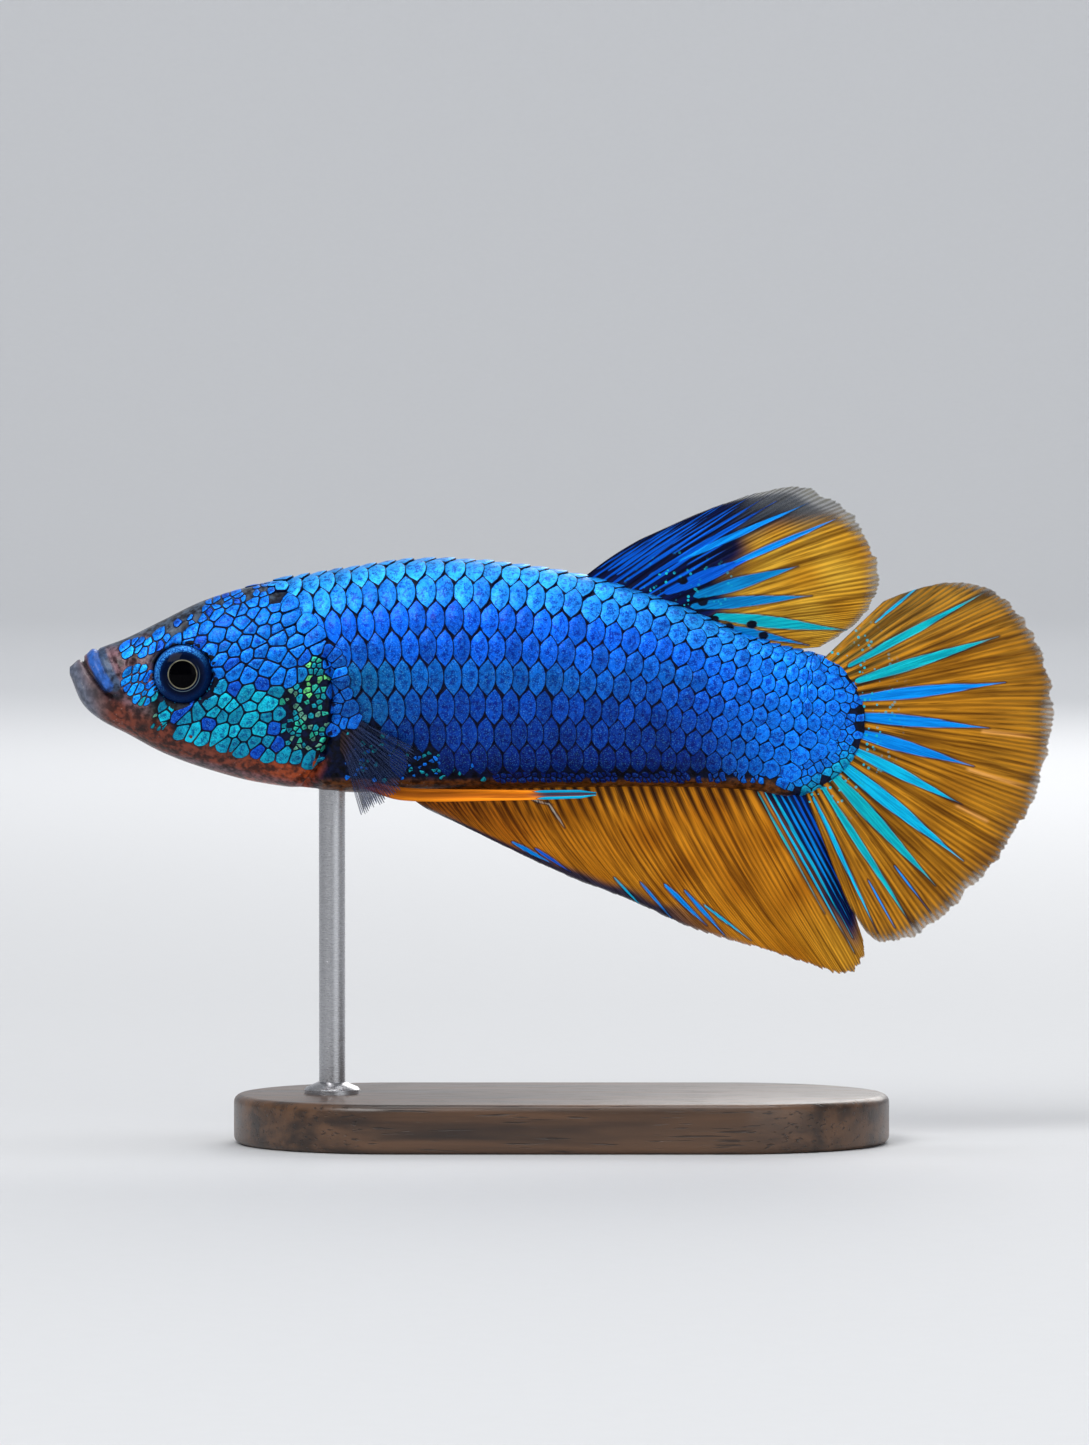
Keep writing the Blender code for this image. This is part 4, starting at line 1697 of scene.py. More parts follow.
@dataclass
class Fin:
    """A rayed sheet, given by a surface over (along, out), both from 0 to 1."""

    name: str
    node: str
    rays: int
    columns: int
    rows: int
    slot: str = "fin_membrane"
    ray_thickness: float = 0.15
    web_share: float = 0.85
    root_thickness: float = 0.4
    fringe: float = 0.2

    def surface(self, along: Array, out: Array) -> Array:
        """Points of the sheet in millimetres."""
        raise NotImplementedError

    def paint(self, along: Array, out: Array, x: Array, z: Array) -> dict[str, Array]:
        """Attributes tint, vein, gleam, streak, split, beads and clear; vein and beads may be left out."""
        raise NotImplementedError

    def ray_mask(self, along: Array, out: Array) -> Array:
        """1 on a ray, 0 half-way between two; rays fork twice outwards."""
        once, twice, thrice = (0.5 - 0.5 * np.cos(math.tau * along * self.rays * k) for k in (1, 2, 4))
        return mixed_share(step(0.5, 0.8, out), mixed_share(step(0.2, 0.5, out), once, twice), thrice)

    def frayed(self, along: Array, out: Array) -> Array:
        """Cut the margin short, unevenly, between the ray tips.

        Args:
            along: shares along the fin.
            out: shares outwards.

        Returns:
            The new shares outwards.
        """
        number = np.floor(along * self.rays * 4)
        uneven = np.modf(np.abs(np.sin(number * 12.9898) * 4375.85))[0]
        clump = 0.5 + 0.5 * np.sin(along * 47.0 + 2.2 * np.sin(along * 19.0))
        cut = (1 - self.ray_mask(along, out)) * 0.5 + 0.3 * uneven + 0.2 * clump
        return out * (1 - 0.1 * self.fringe * cut * step(0.7, 1.0, out))

    def ray(self, share: float, start: float, end: float) -> tuple[Pair, Pair]:
        """Side-view points at two outward shares of one ray."""
        points = self.surface(np.full(2, share), np.array([start, end]))
        return (points[0, 0], points[0, 2]), (points[1, 0], points[1, 2])

    def build(self) -> None:
        """Build the sheet, thicker along its rays."""
        columns, rows = np.linspace(0, 1, self.columns + 1), np.linspace(0, 1, self.rows + 1)
        along, out = np.meshgrid(columns, rows, indexing="ij")
        points = self.surface(along, self.frayed(along, out))
        paint = {"beads": 0 * out, **self.paint(along, out, points[..., 0], points[..., 2])}
        paint.setdefault("vein", paint["tint"] * 1.8)
        web = self.web_share + (1 - self.web_share) * self.ray_mask(along, out)
        thickness = self.ray_thickness * web * (1.15 - 0.6 * out) + self.root_thickness * step(0.12, 0.0, out)
        bm = bmesh.new()
        bmesh.ops.create_grid(bm, x_segments=self.columns, y_segments=self.rows, size=0.5)
        self._fill(bm, points, paint, thickness / thickness.max())
        piece = finished(self.name, bm, self.finish(), (self.node,))
        piece.vertex_groups.new(name="thickness")
        wall = piece.modifiers.new("Thickness", "SOLIDIFY")
        wall.thickness = float(thickness.max()) * MM
        wall.offset = 0.0
        wall.vertex_group = "thickness"

    def _fill(
        self, bm: BMesh, points: Array, paint: dict[str, Array], weight: Array
    ) -> None:
        """Write the sheet's places, map and attributes.

        Args:
            bm: a unit grid.
            points: the places in millimetres.
            paint: the attributes.
            weight: shares of the full thickness.
        """
        uv = bm.loops.layers.uv.new("FinMap")
        for face in bm.faces:
            for loop in face.loops:
                loop[uv].uv = (loop.vert.co.x + 0.5, loop.vert.co.y + 0.5)
        deform = bm.verts.layers.deform.verify()
        colours = {name: bm.verts.layers.float_color.new(name) for name in ("tint", "vein", "gleam")}
        floats = {name: bm.verts.layers.float.new(name) for name in ("streak", "split", "beads", "clear")}
        for vert in bm.verts:
            i, j = grid_index(vert, self.columns, self.rows)
            vert.co = Vector(points[i, j]) * MM
            vert[deform][0] = weight[i, j]
            for name, layer in colours.items():
                vert[layer] = (*paint[name][i, j], 1.0)
            for name, layer in floats.items():
                vert[layer] = paint[name][i, j]

    def finish(self) -> Material:
        """The fin's material."""
        return FinFinish(self.name, float(self.rays)).build()

    def streak_paint(self, streaks: list[Streak], x: Array, z: Array) -> tuple[Array, Array]:
        """Find the nearest streak.

        Args:
            streaks: the streaks.
            x: places along the fish.
            z: heights.

        Returns:
            Depth inside the nearest streak, and its colour.
        """
        depth = np.full(x.shape, NO_STREAK)
        colour = np.zeros((*x.shape, 3))
        for streak in streaks:
            inside = streak.depth(x, z)
            nearer = inside > depth
            depth = np.where(nearer, inside, depth)
            colour[nearer] = streak.colour
        return depth, colour


@dataclass
class CaudalFin(Fin):
    """Round tail fin with blue bars that fan out over amber."""

    name: str = "tail_fin"
    node: str = "caudal_fin"
    rays: int = 24
    columns: int = 480
    rows: int = 80
    fringe: float = 0.06
    centre: Pair = (12.78, 26.53)
    root: float = 4.4
    margin: Knots = (
        (0.0, -68.5, 13.0), (0.03, -66.5, 15.3), (0.1, -60.0, 16.5), (0.24, -43.0, 16.6),
        (0.45, -18.0, 17.1), (0.62, 0.0, 17.35), (0.76, 15.5, 16.8), (0.88, 28.5, 15.3),
        (0.95, 36.5, 12.9), (1.0, 43.5, 9.6),
    )

    # Angle in degrees, first and last radius, width, colour.
    bars: tuple[tuple[float, float, float, float, Colour], ...] = (
        (39.5, 8.2, 12.6, 0.2, CYAN), (28.5, 5.4, 15.2, 0.5, TURQUOISE),
        (17.5, 5.5, 14.6, 0.68, TURQUOISE), (6.3, 5.4, 14.4, 0.74, AZURE), (-5.2, 4.9, 13.4, 0.72, AZURE),
        (-16.0, 4.8, 12.9, 0.78, AZURE), (-26.8, 5.2, 13.1, 0.7, CYAN), (-38.5, 4.8, 15.0, 0.86, CYAN),
        (-47.2, 5.2, 14.8, 0.8, TURQUOISE), (-57.0, 5.8, 16.0, 0.46, TURQUOISE),
        (-64.7, 6.0, 15.2, 0.28, CYAN), (-60.6, 12.0, 15.4, 0.11, AZURE),
        (-52.0, 12.2, 15.8, 0.11, AZURE),
    )
    tips: tuple[Point, ...] = ((-6.2, 13.0, 17.0), (-17.2, 12.6, 16.8), (-27.6, 12.8, 14.8))

    def surface(self, along: Array, out: Array) -> Array:
        """Points of the fan.

        Args:
            along: shares along the fin.
            out: shares outwards.

        Returns:
            The points in millimetres.
        """
        angle = np.radians(smooth_curve(self.margin, along, 1))
        radius = self.root + (smooth_curve(self.margin, along, 2) - self.root) * out
        sway = -0.9 * (1 - along) ** 2 + 0.35 * np.sin(2.5 * math.pi * along)
        x = self.centre[0] + radius * np.cos(angle)
        z = self.centre[1] + radius * np.sin(angle)
        return np.stack([x, out * sway, z], axis=-1)

    def _polar(self, angle: float, radius: float) -> Pair:
        """Side-view point at an angle in degrees and a radius."""
        turn = math.radians(angle)
        return self.centre[0] + radius * math.cos(turn), self.centre[1] + radius * math.sin(turn)

    def paint(self, along: Array, out: Array, x: Array, z: Array) -> dict[str, Array]:
        """Colour the tail fin.

        Args:
            along: shares along the fin.
            out: shares outwards.
            x: places along the fish.
            z: heights.

        Returns:
            The attributes.
        """
        streaks = [Streak(self._polar(a, r0), self._polar(a, r1), w, c) for a, r0, r1, w, c in self.bars]
        depth, gleam = self.streak_paint(streaks, x, z)
        radius = np.hypot(x - self.centre[0], z - self.centre[1])
        uneven = wobble(x, z, 1.6)
        tint = mixed(0.5 + 0.5 * uneven, (0.27, 0.105, 0.006), (0.42, 0.175, 0.01))
        vein = tint * 1.75
        tint = mixed(step(10.0, 5.5, radius) * 0.85, tint, (0.055, 0.03, 0.007))
        turn = np.degrees(np.arctan2(z - self.centre[1], x - self.centre[0]))
        tint = mixed(step(11.5, 15.0, radius) * step(-40.0, -10.0, turn) * 0.55, tint, (0.42, 0.2, 0.02))
        tint = mixed(step(0.74, 0.95, along) * 0.55, tint, (0.3, 0.22, 0.05))
        lines = [(self._polar(angle, start), self._polar(angle, end)) for angle, start, end in self.tips]
        ridges = [bell(distance_to_line(x, z, line), 0.11) for line in lines]
        tint = laid_on(tint, [(ridge * step(17.0, 15.0, radius), PEACH) for ridge in ridges])
        vein = laid_on(vein, [(ridge, PEACH) for ridge in ridges])
        tint = mixed(step(0.86, 1.0, out + 0.04 * uneven) * 0.85, tint, (0.11, 0.078, 0.03))
        clear = 0.6 * step(0.92, 1.0, out + 0.02 * uneven) + 0.08 * step(0.8, 0.93, out)
        beads = step(8.6, 6.4, radius) * step(-0.6, 0.2, wobble(x, z, 0.7, 3.0))
        vein = mixed(step(0.88, 1.0, out) * 0.7, vein, tint)
        marks = {"streak": depth, "split": out, "clear": clear, "beads": beads}
        return {"tint": tint, "vein": vein, "gleam": gleam, **marks}


def bent_rays(
    root: Array, tip: Array, out: Array, bend: Array | float
) -> tuple[Array, Array]:
    """Points on rays from root to tip that bow sideways by bend times their length.

    Args:
        root: x and z of the roots, stacked on the last axis.
        tip: x and z of the tips.
        out: share of the way out.
        bend: the bow.

    Returns:
        x and z of the points.
    """
    way = tip - root
    bow = 4 * out * (1 - out) * bend
    x = root[..., 0] + way[..., 0] * out + way[..., 1] * bow
    z = root[..., 1] + way[..., 1] * out - way[..., 0] * bow
    return x, z


@dataclass
class DorsalFin(Fin):
    """Back fin that leans towards the tail: navy in front, amber behind, with blue bars."""

    name: str = "back_fin"
    node: str = "dorsal_fin"
    rays: int = 17
    columns: int = 340
    rows: int = 84
    fringe: float = 0.08
    root_line: Knots = ((0.0, 1.0, 34.2), (0.5, 5.9, 32.4), (1.0, 11.4, 29.9))
    margin: Knots = (
        (0.0, 5.0, 36.9), (0.12, 9.8, 39.0), (0.26, 14.2, 40.1), (0.36, 16.6, 39.4), (0.475, 18.3, 37.9),
        (0.56, 19.3, 35.9), (0.66, 19.4, 33.7), (0.78, 18.6, 32.2), (0.9, 17.4, 31.2),
        (1.0, 15.9, 30.25),
    )
    bars: tuple[tuple[Pair, Pair, float, Colour], ...] = (
        ((7.2, 35.55), (15.1, 39.05), 0.42, AZURE), ((5.4, 34.6), (13.2, 39.2), 0.36, COBALT),
        ((6.4, 33.6), (12.0, 35.9), 0.8, COBALT), ((10.4, 35.3), (16.8, 38.1), 0.42, AZURE),
        ((8.2, 33.4), (14.5, 35.2), 0.8, OCEAN), ((8.0, 32.75), (15.3, 33.4), 0.7, OCEAN),
        ((9.4, 32.15), (17.6, 31.25), 0.74, TURQUOISE), ((9.7, 31.55), (15.1, 30.35), 0.5, OCEAN),
    )

    # Share along the fin, first and last share outwards, width.
    front_rays: tuple[tuple[float, float, float, float], ...] = (
        (0.012, 0.25, 0.95, 0.1), (0.04, 0.1, 0.9, 0.16), (0.07, 0.2, 0.97, 0.2),
        (0.1, 0.05, 0.8, 0.22), (0.13, 0.15, 0.97, 0.18), (0.16, 0.05, 0.75, 0.26),
        (0.2, 0.1, 0.9, 0.22), (0.3, 0.08, 0.55, 0.24), (0.36, 0.06, 0.5, 0.22),
        (0.24, 0.35, 0.92, 0.16), (0.055, 0.55, 1.0, 0.1), (0.115, 0.45, 0.99, 0.12),
        (0.27, 0.04, 0.42, 0.14), (0.33, 0.3, 0.62, 0.12), (0.185, 0.45, 0.98, 0.1),
        (0.4, 0.05, 0.36, 0.16),
    )
    spots: tuple[Pair, ...] = (
        (9.3, 31.95), (10.2, 31.45), (11.6, 31.65), (12.3, 30.95), (8.6, 33.0), (7.4, 34.3), (8.1, 32.2),
    )

    def surface(self, along: Array, out: Array) -> Array:
        """Points of the back fin.

        Args:
            along: shares along the fin.
            out: shares outwards.

        Returns:
            The points in millimetres.
        """
        root, tip = smooth_points(self.root_line, along), smooth_points(self.margin, along)
        x, z = bent_rays(root, tip, out, -0.03 * (1 - along))
        return np.stack([x, 0.35 * out * np.sin(2.6 * math.pi * along), z], axis=-1)

    def paint(self, along: Array, out: Array, x: Array, z: Array) -> dict[str, Array]:
        """Colour the back fin.

        Args:
            along: shares along the fin.
            out: shares outwards.
            x: places along the fish.
            z: heights.

        Returns:
            The attributes.
        """
        streaks = [Streak(start, end, width, colour) for start, end, width, colour in self.bars]
        streaks += [Streak(*self.ray(a, b, c), width, COBALT) for a, b, c, width in self.front_rays]
        depth, gleam = self.streak_paint(streaks, x, z)
        spot = np.min([np.hypot((x - a) * 0.8, z - b) for a, b in self.spots], axis=0) - 0.24
        depth = np.minimum(depth, spot)
        uneven = wobble(x, z, 1.3, 1.0)
        tint = mixed(0.5 + 0.5 * uneven, (0.4, 0.18, 0.01), (0.54, 0.3, 0.028))
        amber = step(9.0, 11.2, x - 0.35 * (z - 33.5) + 0.5 * uneven) * step(38.7, 37.2, z - 0.25 * (x - 14))
        tint = mixed(1 - amber, tint, (0.001, 0.004, 0.04))
        smoky = step(36.6, 38.8, z - 0.12 * (x - 14) + 0.7 * uneven) * step(9.5, 12.5, x)
        tint = mixed(smoky * 0.9, tint, (0.034, 0.042, 0.052))
        tint = mixed(step(0.9, 1.0, out + 0.03 * uneven) * 0.8, tint, (0.1, 0.09, 0.05))
        black = np.maximum(step(0.1, 0.02, out) * 0.8, step(0.1, 0.0, spot))
        tint = mixed(black, tint, (0.002, 0.004, 0.012))
        clear = 0.4 * smoky * step(0.6, 0.9, out) + 0.65 * step(0.88, 1.0, out + 0.02 * uneven)
        clear = np.minimum(clear, 0.72)
        beads = step(0.42, 0.3, out) * step(-0.2, 0.5, wobble(x, z, 0.7, 3.0))
        beads = beads * step(0.15, 0.3, along) * step(0.7, 0.5, along)
        return {"tint": tint, "gleam": gleam, "streak": depth, "split": out, "clear": clear, "beads": beads}


@dataclass
class AnalFin(Fin):
    """Long amber fin under the belly, drawn out to a drooping point behind."""

    name: str = "belly_fin"
    node: str = "anal_fin"
    rays: int = 36
    columns: int = 576
    rows: int = 62
    fringe: float = 0.06
    root_line: Knots = ((0.0, -10.2, 22.3), (0.9, 11.8, 22.0), (1.0, 14.45, 22.15))
    margin: Knots = (
        (0.0, -8.1, 20.35), (0.25, -0.1, 16.45), (0.4, 4.8, 14.5), (0.49, 7.8, 13.1),
        (0.63, 11.6, 11.9), (0.755, 15.3, 10.7), (0.857, 17.3, 10.05), (0.907, 18.3, 10.65),
        (0.955, 18.55, 11.75), (1.0, 18.05, 13.1),
    )
    bars: tuple[tuple[Pair, Pair, float, Colour], ...] = (
        ((-3.0, 18.35), (-0.5, 17.0), 0.26, AZURE), ((-1.6, 17.95), (0.6, 16.5), 0.2, COBALT),
        ((4.8, 15.9), (6.8, 13.6), 0.18, AZURE), ((6.3, 15.75), (8.9, 13.2), 0.3, AZURE),
        ((7.5, 15.4), (10.0, 12.6), 0.24, AZURE), ((8.7, 14.5), (11.6, 12.3), 0.18, CYAN),
        ((3.2, 16.2), (5.0, 14.3), 0.14, CYAN), ((-1.8, 20.95), (-0.5, 20.6), 0.12, (0.6, 0.52, 0.42)),
        ((-0.8, 20.75), (0.2, 19.2), 0.13, (0.6, 0.52, 0.42)),
    )

    # Share along the fin, first and last share outwards, width, colour.
    rear_rays: tuple[tuple[float, float, float, float, Colour], ...] = (
        (0.893, 0.05, 0.7, 0.14, TURQUOISE), (0.91, 0.05, 0.93, 0.18, CYAN),
        (0.927, 0.03, 0.88, 0.22, CYAN), (0.943, 0.03, 0.84, 0.2, AZURE),
        (0.957, 0.03, 0.8, 0.2, AZURE), (0.971, 0.03, 0.74, 0.18, COBALT),
        (0.985, 0.03, 0.66, 0.16, COBALT),
    )

    def surface(self, along: Array, out: Array) -> Array:
        """Points of the belly fin.

        Args:
            along: shares along the fin.
            out: shares outwards.

        Returns:
            The points in millimetres.
        """
        root, tip = smooth_points(self.root_line, along), smooth_points(self.margin, along)
        x, z = bent_rays(root, tip, out, 0.07 - 0.12 * along**5)
        y = out * (0.45 * along + 0.15 * along**5 + 0.3 * np.sin(3 * math.pi * along))
        return np.stack([x, y, z], axis=-1)

    def paint(self, along: Array, out: Array, x: Array, z: Array) -> dict[str, Array]:
        """Colour the belly fin.

        Args:
            along: shares along the fin.
            out: shares outwards.
            x: places along the fish.
            z: heights.

        Returns:
            The attributes.
        """
        streaks = [Streak(start, end, width, colour) for start, end, width, colour in self.bars]
        streaks += [Streak(*self.ray(a, b, c), width, colour) for a, b, c, width, colour in self.rear_rays]
        depth, gleam = self.streak_paint(streaks, x, z)
        uneven = wobble(x, z, 1.4, 2.0)
        tint = mixed(0.5 + 0.5 * uneven, (0.3, 0.095, 0.003), (0.46, 0.17, 0.008))
        tint = mixed(step(0.45, 0.1, along) * 0.55, tint, (0.4, 0.085, 0.004))
        tint = mixed(step(0.74, 0.9, along) * step(0.55, 0.9, out) * 0.5, tint, (0.56, 0.32, 0.03))
        vein = tint * 1.7
        tint = mixed(step(0.35, 0.85, out) * 0.45, tint, (0.56, 0.24, 0.012))
        tint = mixed(step(2.6, 0.3, 21.8 - z) * 0.9, tint, (0.07, 0.022, 0.005))
        front = step(0.16, 0.02, along)
        tint = mixed(front * 0.6, tint, (0.16, 0.05, 0.012))
        navy = step(0.895, 0.93, along + 0.006 * uneven) * step(1.0, 0.8, out)
        tint = mixed(navy, tint, (0.001, 0.008, 0.09))
        vein = mixed(navy, vein, (0.002, 0.02, 0.16))
        edge = step(0.74, 0.88, out + 0.04 * uneven) * step(0.62, 0.45, along)
        tint = mixed(edge * 0.95, tint, (0.006, 0.012, 0.04))
        vein = mixed(edge * 0.95, vein, (0.02, 0.035, 0.08))
        tint = mixed(step(0.95, 1.0, out) * (1 - edge) * 0.6, tint, (0.05, 0.035, 0.015))
        clear = 0.25 * step(0.9, 1.0, out) * step(0.75, 0.55, along) + 0.3 * step(0.94, 1.0, out)
        clear = np.maximum(clear, 0.3 * front * step(0.5, 0.9, out))
        return {"tint": tint, "vein": vein, "gleam": gleam, "streak": depth, "split": out, "clear": clear}


@dataclass
class PectoralFin(Fin):
    """Clear smoky fan behind the gill cover."""

    side: Side = Side.LEFT
    name: str = ""
    node: str = ""
    rays: int = 9
    columns: int = 180
    rows: int = 40
    slot: str = "clear_membrane"
    ray_thickness: float = 0.1
    root_thickness: float = 0.3
    fringe: float = 1.4
    root: Point = (-13.3, 3.05, 25.3)
    half_height: float = 1.2
    angles: Pair = (-74.0, -26.0)
    lengths: Pair = (4.4, 5.4)
    flare: float = 0.42

    def surface(self, along: Array, out: Array) -> Array:
        """Points of the fan.

        Args:
            along: shares along the fin.
            out: shares outwards.

        Returns:
            The points in millimetres.
        """
        angle = np.radians(self.angles[0] + (self.angles[1] - self.angles[0]) * along)
        reach = out * (self.lengths[0] + (self.lengths[1] - self.lengths[0]) * np.sin(1.9 * along))
        x = self.root[0] + reach * np.cos(angle)
        z = self.root[2] + self.half_height * (2 * along - 1) + reach * np.sin(angle)
        fold = 0.05 * np.sin(math.tau * along * self.rays) * step(0.1, 0.8, out)
        y = self.root[1] + self.flare * reach * (1 - 0.35 * out) + fold
        return np.stack([x, self.side.value * y, z], axis=-1)

    def paint(self, along: Array, out: Array, x: Array, z: Array) -> dict[str, Array]:
        """Colour the fan smoky blue-grey, browner at the root.

        Args:
            along: shares along the fin.
            out: shares outwards.
            x: places along the fish.
            z: heights.

        Returns:
            The attributes.
        """
        shape = along.shape
        tint = mixed(step(0.35, 0.0, out), (0.014, 0.026, 0.075), (0.02, 0.012, 0.012))
        return {
            "tint": tint,
            "gleam": np.zeros((*shape, 3)),
            "streak": np.full(shape, NO_STREAK),
            "split": out,
            "clear": 0.86 * step(0.0, 0.45, out),
        }

    def finish(self) -> Material:
        """The film's material, with thin rays."""
        return FinFinish(self.name, float(self.rays), ray_alpha=0.55, fray=0.06).build()


@dataclass
class PelvicFin(Fin):
    """Long narrow orange fin with a cyan tip, laid back under the belly."""

    side: Side = Side.LEFT
    name: str = ""
    node: str = ""
    rays: int = 3
    columns: int = 180
    rows: int = 24
    ray_thickness: float = 0.34
    web_share: float = 0.35
    root_thickness: float = 0.0
    fringe: float = 0.0
    offset: float = 1.72
    upper: Knots = ((0.0, -12.1, 22.5), (0.2, -10.0, 21.8), (0.6, -4.0, 21.62), (1.0, 2.1, 21.62))
    lower: Knots = ((0.0, -12.1, 21.7), (0.2, -9.6, 20.95), (0.6, -3.6, 20.95), (1.0, 2.1, 21.12))

    def surface(self, along: Array, out: Array) -> Array:
        """Points of the blade.

        Args:
            along: shares along the fin.
            out: shares outwards.

        Returns:
            The points in millimetres.
        """
        high, low = smooth_points(self.upper, along), smooth_points(self.lower, along)
        narrow = 1 - 0.55 * step(0.93, 1.0, along)
        point = (high + low) / 2 + (low - high) * (out[..., None] - 0.5) * narrow[..., None]
        y = self.offset - 0.45 * step(0.1, 0.0, along) + 0.06 * np.sin(9 * along)
        return np.stack([point[..., 0], self.side.value * y, point[..., 1]], axis=-1)

    def ray_mask(self, along: Array, out: Array) -> Array:
        """Two round strands along the blade."""
        return np.clip(bell(out - 0.16, 0.17) + bell(out - 0.84, 0.17), 0, 1)

    def paint(self, along: Array, out: Array, x: Array, z: Array) -> dict[str, Array]:
        """Colour the blade orange, deeper at the root, with a cyan tip; its orange is painted extra bright,
        as painted light in the shade under the belly.

        Args:
            along: shares along the fin.
            out: shares outwards.
            x: places along the fish.
            z: heights.

        Returns:
            The attributes.
        """
        web = 1 - self.ray_mask(along, out)
        # The bright orange is partly the fin's own colour and partly painted light, raised to make up for the
        # shade under the belly.
        tint = mixed(step(0.0, 0.25, along), (0.6, 0.11, 0.02), (1.0, 0.29, 0.012))
        tip = step(0.7, 0.8, along)
        tint = mixed(web * 0.75, tint, (0.22, 0.045, 0.005))
        tint = mixed(web * tip, tint, (0.002, 0.02, 0.06))
        depth = 0.5 * tip - 0.25 - web * 0.45
        gleam = np.broadcast_to(np.array(CYAN), (*along.shape, 3))
        return {"tint": tint, "gleam": gleam, "streak": depth, "split": 0 * along, "clear": 0 * along}

    def finish(self) -> Material:
        """The strands' material: no fork lines."""
        return FinFinish(self.name, 0.5, 0.01).build()


# ---- Stand, studio and camera ----


@dataclass
class Stand:
    """Oval walnut base, and a steel rod with a collar at its foot."""

    edge: float = 0.5
    rod_radius: float = 0.8
    collar_radius: float = 1.7
    collar_height: float = 0.7
    rod_reach: float = 22.6

    def build(self) -> None:
        """Build the base, the rod and the collar."""
        low, high = (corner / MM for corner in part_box("stand_base"))
        rod_low, rod_high = (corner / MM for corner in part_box("stand_rod"))
        self._base(low, high)
        steel = SteelFinish().build()
        rod_x = (rod_low.x + rod_high.x) / 2
        reach = min(self.rod_reach, rod_high.z)
        rod = [(0, high.z - 1.0), (self.rod_radius, high.z - 1.0), (self.rod_radius, reach), (0, reach)]
        self._turned("rod", rod, rod_x, steel, "stand_rod")
        rim = self.collar_radius
        collar = [
            (0, high.z - 0.3), (rim, high.z - 0.3), (rim, high.z + 0.25), (rim - 0.12, high.z + 0.4),
            (self.rod_radius + 0.25, high.z + self.collar_height - 0.08),
            (self.rod_radius + 0.1, high.z + self.collar_height), (0, high.z + self.collar_height),
        ]
        self._turned("rod_collar", collar, rod_x, steel)

    def _base(self, low: Vector, high: Vector) -> None:
        """Build the base, an oval plate with rounded edges.

        Args:
            low: the lower corner of its box.
            high: the upper corner.
        """
        radius = (high.y - low.y) / 2
        reach = (high.x - low.x) / 2 - radius
        bm = bmesh.new()
        bmesh.ops.create_circle(bm, cap_ends=True, segments=96, radius=radius)
        for vert in bm.verts:
            vert.co.x += math.copysign(reach, vert.co.x) if abs(vert.co.x) > 1e-6 else 0.0
        made = bmesh.ops.extrude_face_region(bm, geom=list(bm.faces))["geom"]
        top = [part for part in made if isinstance(part, BMVert)]
        bmesh.ops.translate(bm, verts=top, vec=(0, 0, high.z - low.z))
        level = [edge for edge in bm.edges if abs(edge.verts[0].co.z - edge.verts[1].co.z) < 1e-6]
        rims = [edge for edge in level if edge.calc_face_angle(0) > 1]
        bmesh.ops.bevel(bm, geom=rims, offset=self.edge, segments=5, profile=0.5, affect="EDGES", material=-1)
        bmesh.ops.recalc_face_normals(bm, faces=bm.faces)
        bmesh.ops.scale(bm, verts=bm.verts, vec=(MM, MM, MM))
        finished("base", bm, WalnutFinish().build(), ("stand_base",), sharp=35.0)

    def _turned(
        self, name: str, profile: Iterable[Sequence[float]], x: float, finish: Material, *nodes: str
    ) -> None:
        """Build a round piece on the rod's axis.

        Args:
            name: the piece's name.
            profile: its (radius, height) points.
            x: the axis's place.
            finish: the material.
            nodes: CAD nodes that it stands for.
        """
        bm = spun(profile, steps=48)
        bmesh.ops.translate(bm, verts=bm.verts, vec=(x, 0, 0))
        bmesh.ops.scale(bm, verts=bm.verts, vec=(MM, MM, MM))
        finished(name, bm, finish, nodes, sharp=35.0)


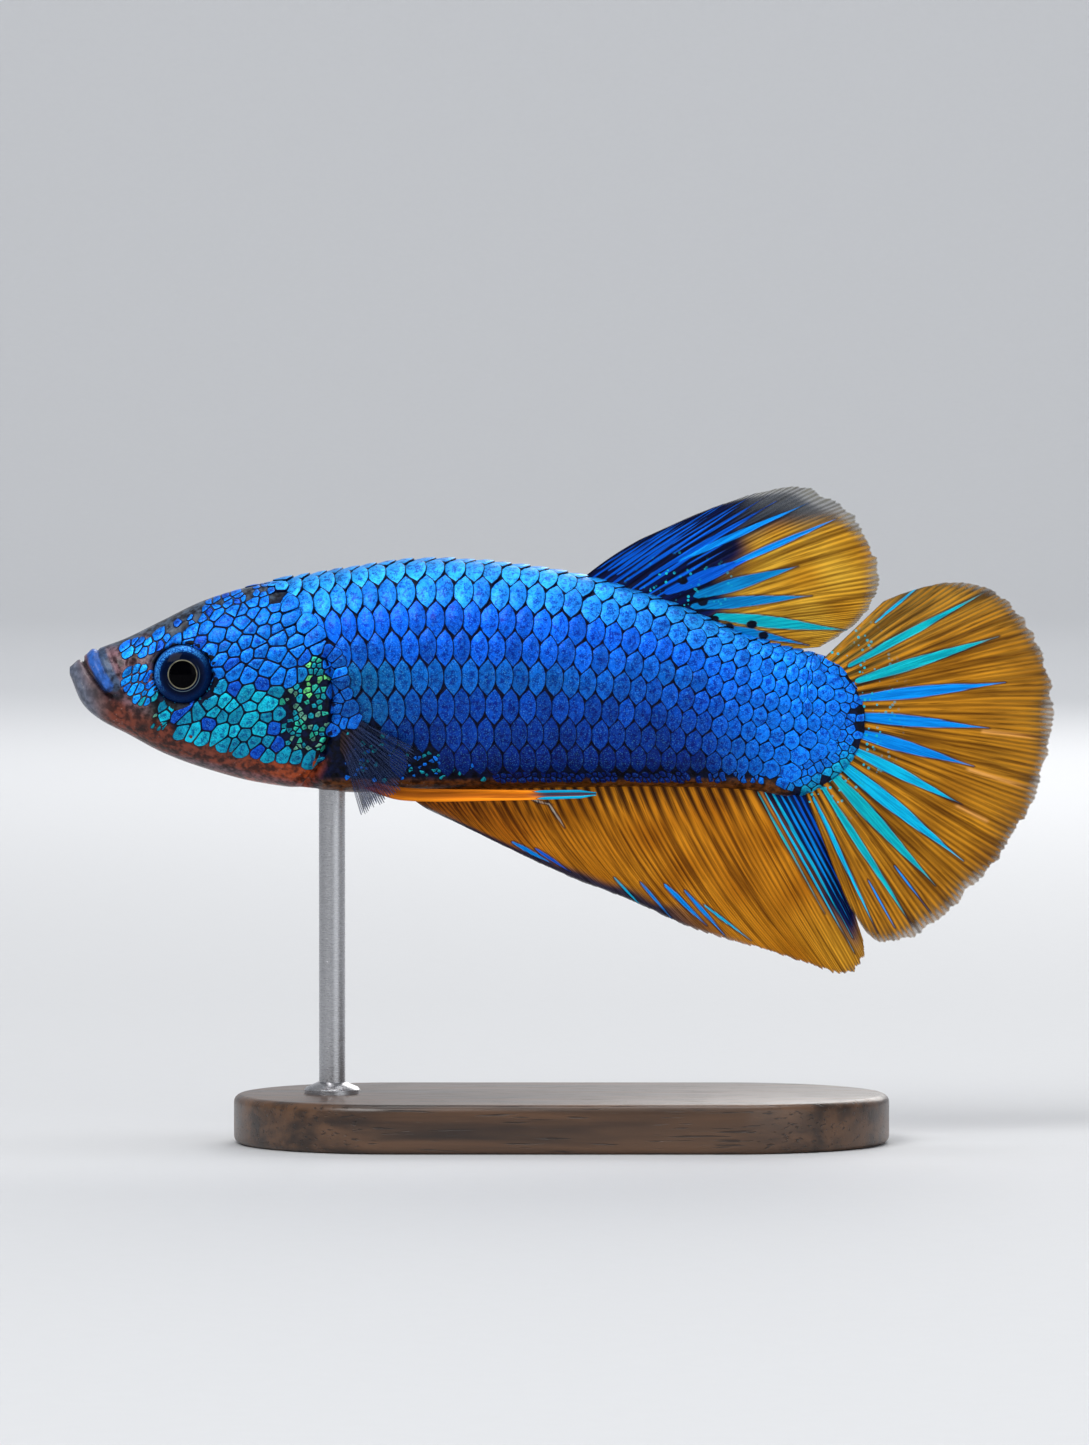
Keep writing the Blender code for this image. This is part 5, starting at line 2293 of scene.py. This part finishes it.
@dataclass
class Studio:
    """Pale floor that curves up into a round wall, soft lights and the camera."""

    floor_radius: float = 1.3
    cove: float = 0.5
    wall: float = 1.6
    distance: float = 0.62
    elevation: float = 2.0
    frame_height: float = 0.0881
    aim: Point = (-0.00104, 0.0, 0.02565)

    def build(self) -> None:
        """Build the studio."""
        self._floor()
        self._light("wash", (0.0, 0.7, 0.95), 0.8, 7.5, (1.0, 1.0, 1.0), (0.0, 1.8, 0.3))
        self._light("key", (-0.3, -0.5, 0.55), 0.4, 3.6, (1.0, 0.99, 0.97))
        self._light("fill", (0.45, -0.6, 0.25), 0.6, 1.3, (0.95, 0.98, 1.0))
        self._light("top", (0.05, 0.05, 0.7), 0.45, 1.8, (1.0, 1.0, 1.0))
        self._light("back", (0.2, 0.6, 0.35), 0.4, 1.6, (1.0, 0.98, 0.95))
        world = bpy.data.worlds.new("studio")
        world.use_nodes = True
        sky = world.node_tree.nodes["Background"]
        sky.inputs["Color"].default_value = (0.85, 0.88, 0.92, 1.0)
        sky.inputs["Strength"].default_value = 0.42
        bpy.context.scene.world = world
        bpy.context.scene.view_settings.view_transform = "Standard"
        self._camera()

    def _floor(self) -> None:
        """Floor and wall, spun from one profile."""
        bend = [math.radians(a) for a in range(6, 91, 6)]
        radius, cove = self.floor_radius, self.cove
        profile = [(0.0, 0.0), (radius, 0.0)]
        profile += [(radius + cove * math.sin(a), cove * (1 - math.cos(a))) for a in bend]
        profile += [(radius + cove, self.wall)]
        bm = spun(profile, steps=96)
        bmesh.ops.reverse_faces(bm, faces=bm.faces)
        mesh = bpy.data.meshes.new("floor")
        bm.to_mesh(mesh)
        bm.free()
        mesh.materials.append(StudioFinish().build())
        mesh.shade_smooth()
        placed("floor", mesh)

    def _light(
        self, name: str, place: Point, size: float, power: float, colour: Colour, target: Point | None = None
    ) -> None:
        """Add a square area light.

        Args:
            name: the light's name.
            place: where it stands, in metres.
            size: its side in metres.
            power: its power in watts.
            colour: its colour.
            target: what it is aimed at; the fish if left out.
        """
        lamp = bpy.data.lights.new(name, "AREA")
        lamp.energy, lamp.size, lamp.color = power, size, colour
        thing = placed(name, lamp)
        thing.location = place
        way = Vector(target or self.aim) - Vector(place)
        thing.rotation_euler = way.to_track_quat("-Z", "Y").to_euler()

    def _camera(self) -> None:
        """Camera level with the fish, with a long lens."""
        camera = bpy.data.cameras.new("camera")
        camera.lens = camera.sensor_width * self.distance / self.frame_height
        camera.clip_start, camera.clip_end = 0.01, 20.0
        thing = placed("camera", camera)
        rise = math.radians(self.elevation)
        back = Vector((0.0, -math.cos(rise), math.sin(rise)))
        thing.location = Vector(self.aim) + back * self.distance
        thing.rotation_euler = (-back).to_track_quat("-Z", "Y").to_euler()
        bpy.context.scene.camera = thing


def main() -> None:
    """Build every sub-assembly in order."""
    logging.basicConfig(level=logging.INFO, format="%(name)s: %(message)s")
    surface = BodySurface()
    colours = CoatColours(surface)
    Skin(surface).build()
    FlankScales(surface, colours).build()
    HeadPlates(surface, colours).build()
    for side in Side:
        Eye(side, surface).build()
        PectoralFin(side=side, name=f"pectoral_web_{side.label}", node=f"pectoral_fin_{side.label}").build()
        PelvicFin(side=side, name=f"pelvic_web_{side.label}", node=f"pelvic_fin_{side.label}").build()
    CaudalFin().build()
    DorsalFin().build()
    AnalFin().build()
    Stand().build()
    Studio().build()


if __name__ == "__main__":
    main()
